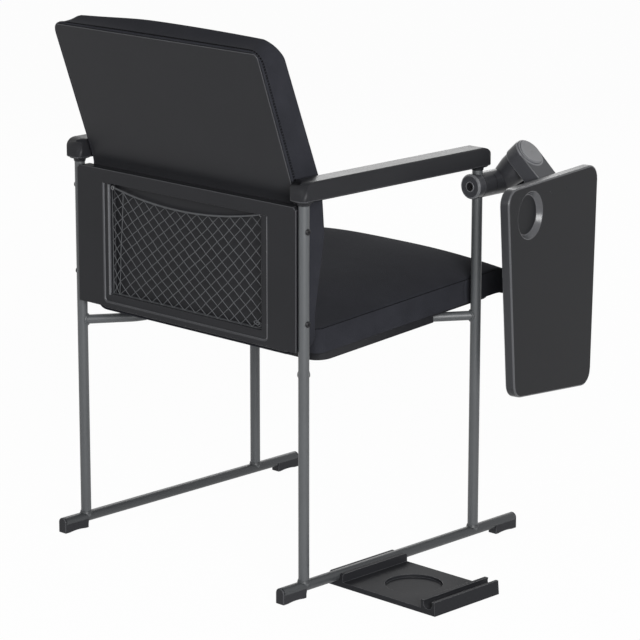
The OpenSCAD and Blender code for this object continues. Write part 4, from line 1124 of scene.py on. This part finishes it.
def counterbore():
    """Raised rim and dished seat round the clamp's bolt; the rim's light colour is a painted highlight."""
    profile = [(8.9, -0.6), (8.9, 0.35), (8.5, 0.6), (7.9, 0.6), (7.4, 0.3), (6.6, -0.1), (5.0, -0.2)]
    ob = turned("bolt_seat", profile, 48, BOLT_AT, Vector((0, 1, 0)))
    ob.data.materials.append(hinge_edge_highlight)
    ob.data.materials.append(blacked)
    for p in ob.data.polygons:
        flat = p.center - BOLT_AT
        if math.hypot(flat.x, flat.z) < BOLT_DISH_R / 1000:
            p.material_index = 1
    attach(ob, "frame")


counterbore()


def pivot_cap():
    """Light grey disc with a soft edge and a tiny dimple in its middle."""
    top = CAP_FROM + CAP_H
    profile = [(0, CAP_FROM), (CAP_R, CAP_FROM), (CAP_R, top - 0.7), (CAP_R - 0.25, top - 0.22),
               (CAP_R - 0.8, top), (8, top), (1.9, top), (1.5, top - 0.12), (0.9, top - 0.5), (0, top - 0.6)]
    ob = turned("pivot_cap_finished", profile, 72, SWIVEL_AT, SWIVEL_AXIS)
    ob.data.materials.append(cap_grey)
    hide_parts("pivot_cap")
    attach(ob, "tablet")


pivot_cap()

# Tablet: a moulded board with rounded edges, screwed to the swivel head. Its writing face has a
# shallow recess for a cup.

tablet_black = grained("tablet_black", (0.0115, 0.0118, 0.0136), (0.0085, 0.0088, 0.0102), 2000, 7,
                       (0.36, 0.44), (0.12, 0.0002), specular=0.1)
# A lighter copy of the tablet's finish, for its sides: painted light.
tablet_side_lit = grained("tablet_side_lit", (0.034, 0.0347, 0.0385), (0.027, 0.0276, 0.0307), 2000, 7,
                      (0.3, 0.36), (0.1, 0.0002), specular=0.25)
# A still lighter copy, for the rounded edges and the cup's wall: a painted highlight.
tablet_edge_highlight = grained("tablet_edge_highlight", (0.074, 0.0757, 0.0815), (0.058, 0.0593, 0.064), 2000, 7,
                      (0.24, 0.3), (0.05, 0.0002), specular=0.4)
CUP_R, CUP_DEPTH, CUP_DEEPER, CUP_TAPER, NEAR = 40.0, 6.0, 3.0, 0.85, 0.0005
CUP_FROM, CUP_TO = -0.13, -0.035


def tablet_board():
    """Board with a dished cup recess. Its faces keep the fine dark finish; its rounded edges and the cup's
    wall take a smoother, much lighter finish that paints a highlight, and its other sides a lighter one that
    paints the light falling on them.
    """
    face = Vector((-math.cos(TABLET_TURN), -math.sin(TABLET_TURN), 0))
    mesh = nodes["tablet_board"].data
    high = max(v.co.dot(face) for v in mesh.vertices)
    along = Vector((-math.sin(TABLET_TURN), math.cos(TABLET_TURN), 0))
    floor = [v.co.copy() for v in mesh.vertices
             if abs(high - v.co.dot(face) - CUP_DEPTH / 1000) < NEAR and CUP_FROM < v.co.dot(along) < CUP_TO]
    middle = sum(floor, Vector()) / len(floor)

    def dish(bm):
        for v in bm.verts:
            off = v.co - middle
            flat = off - face * off.dot(face)
            if abs(off.dot(face)) < NEAR and flat.length < CUP_R / 1000 + 0.001:
                v.co = middle + flat * CUP_TAPER - face * (CUP_DEEPER / 1000)

    ob = softened("tablet_board", 0.0026, tablet_black, body="tablet", steps=4,
                  edge=tablet_edge_highlight, shape=dish, least=0.03, fine=0.1)
    ob.data.materials.append(tablet_side_lit)
    for p in ob.data.polygons:
        if p.material_index == 0 and abs(p.normal.dot(face)) < 0.9:
            p.material_index = 1 if (p.center - middle).length < CUP_R / 1000 else 2


tablet_board()

# Row link: a moulded floor plate with a channel along each long side. One holds this chair's
# rail, the other is open for the next chair's, and the round recess stiffens the plate.

link_black = grained("link_black", (0.0205, 0.021, 0.0235), (0.0152, 0.0156, 0.0175), 1500, 12,
                     (0.5, 0.6), (0.2, 0.0002), specular=0.07)
# Its rounded edges take the lighter edge colour: a painted highlight.
softened("row_link", 0.0014, link_black, body="link", edge=soft_edge_highlight)
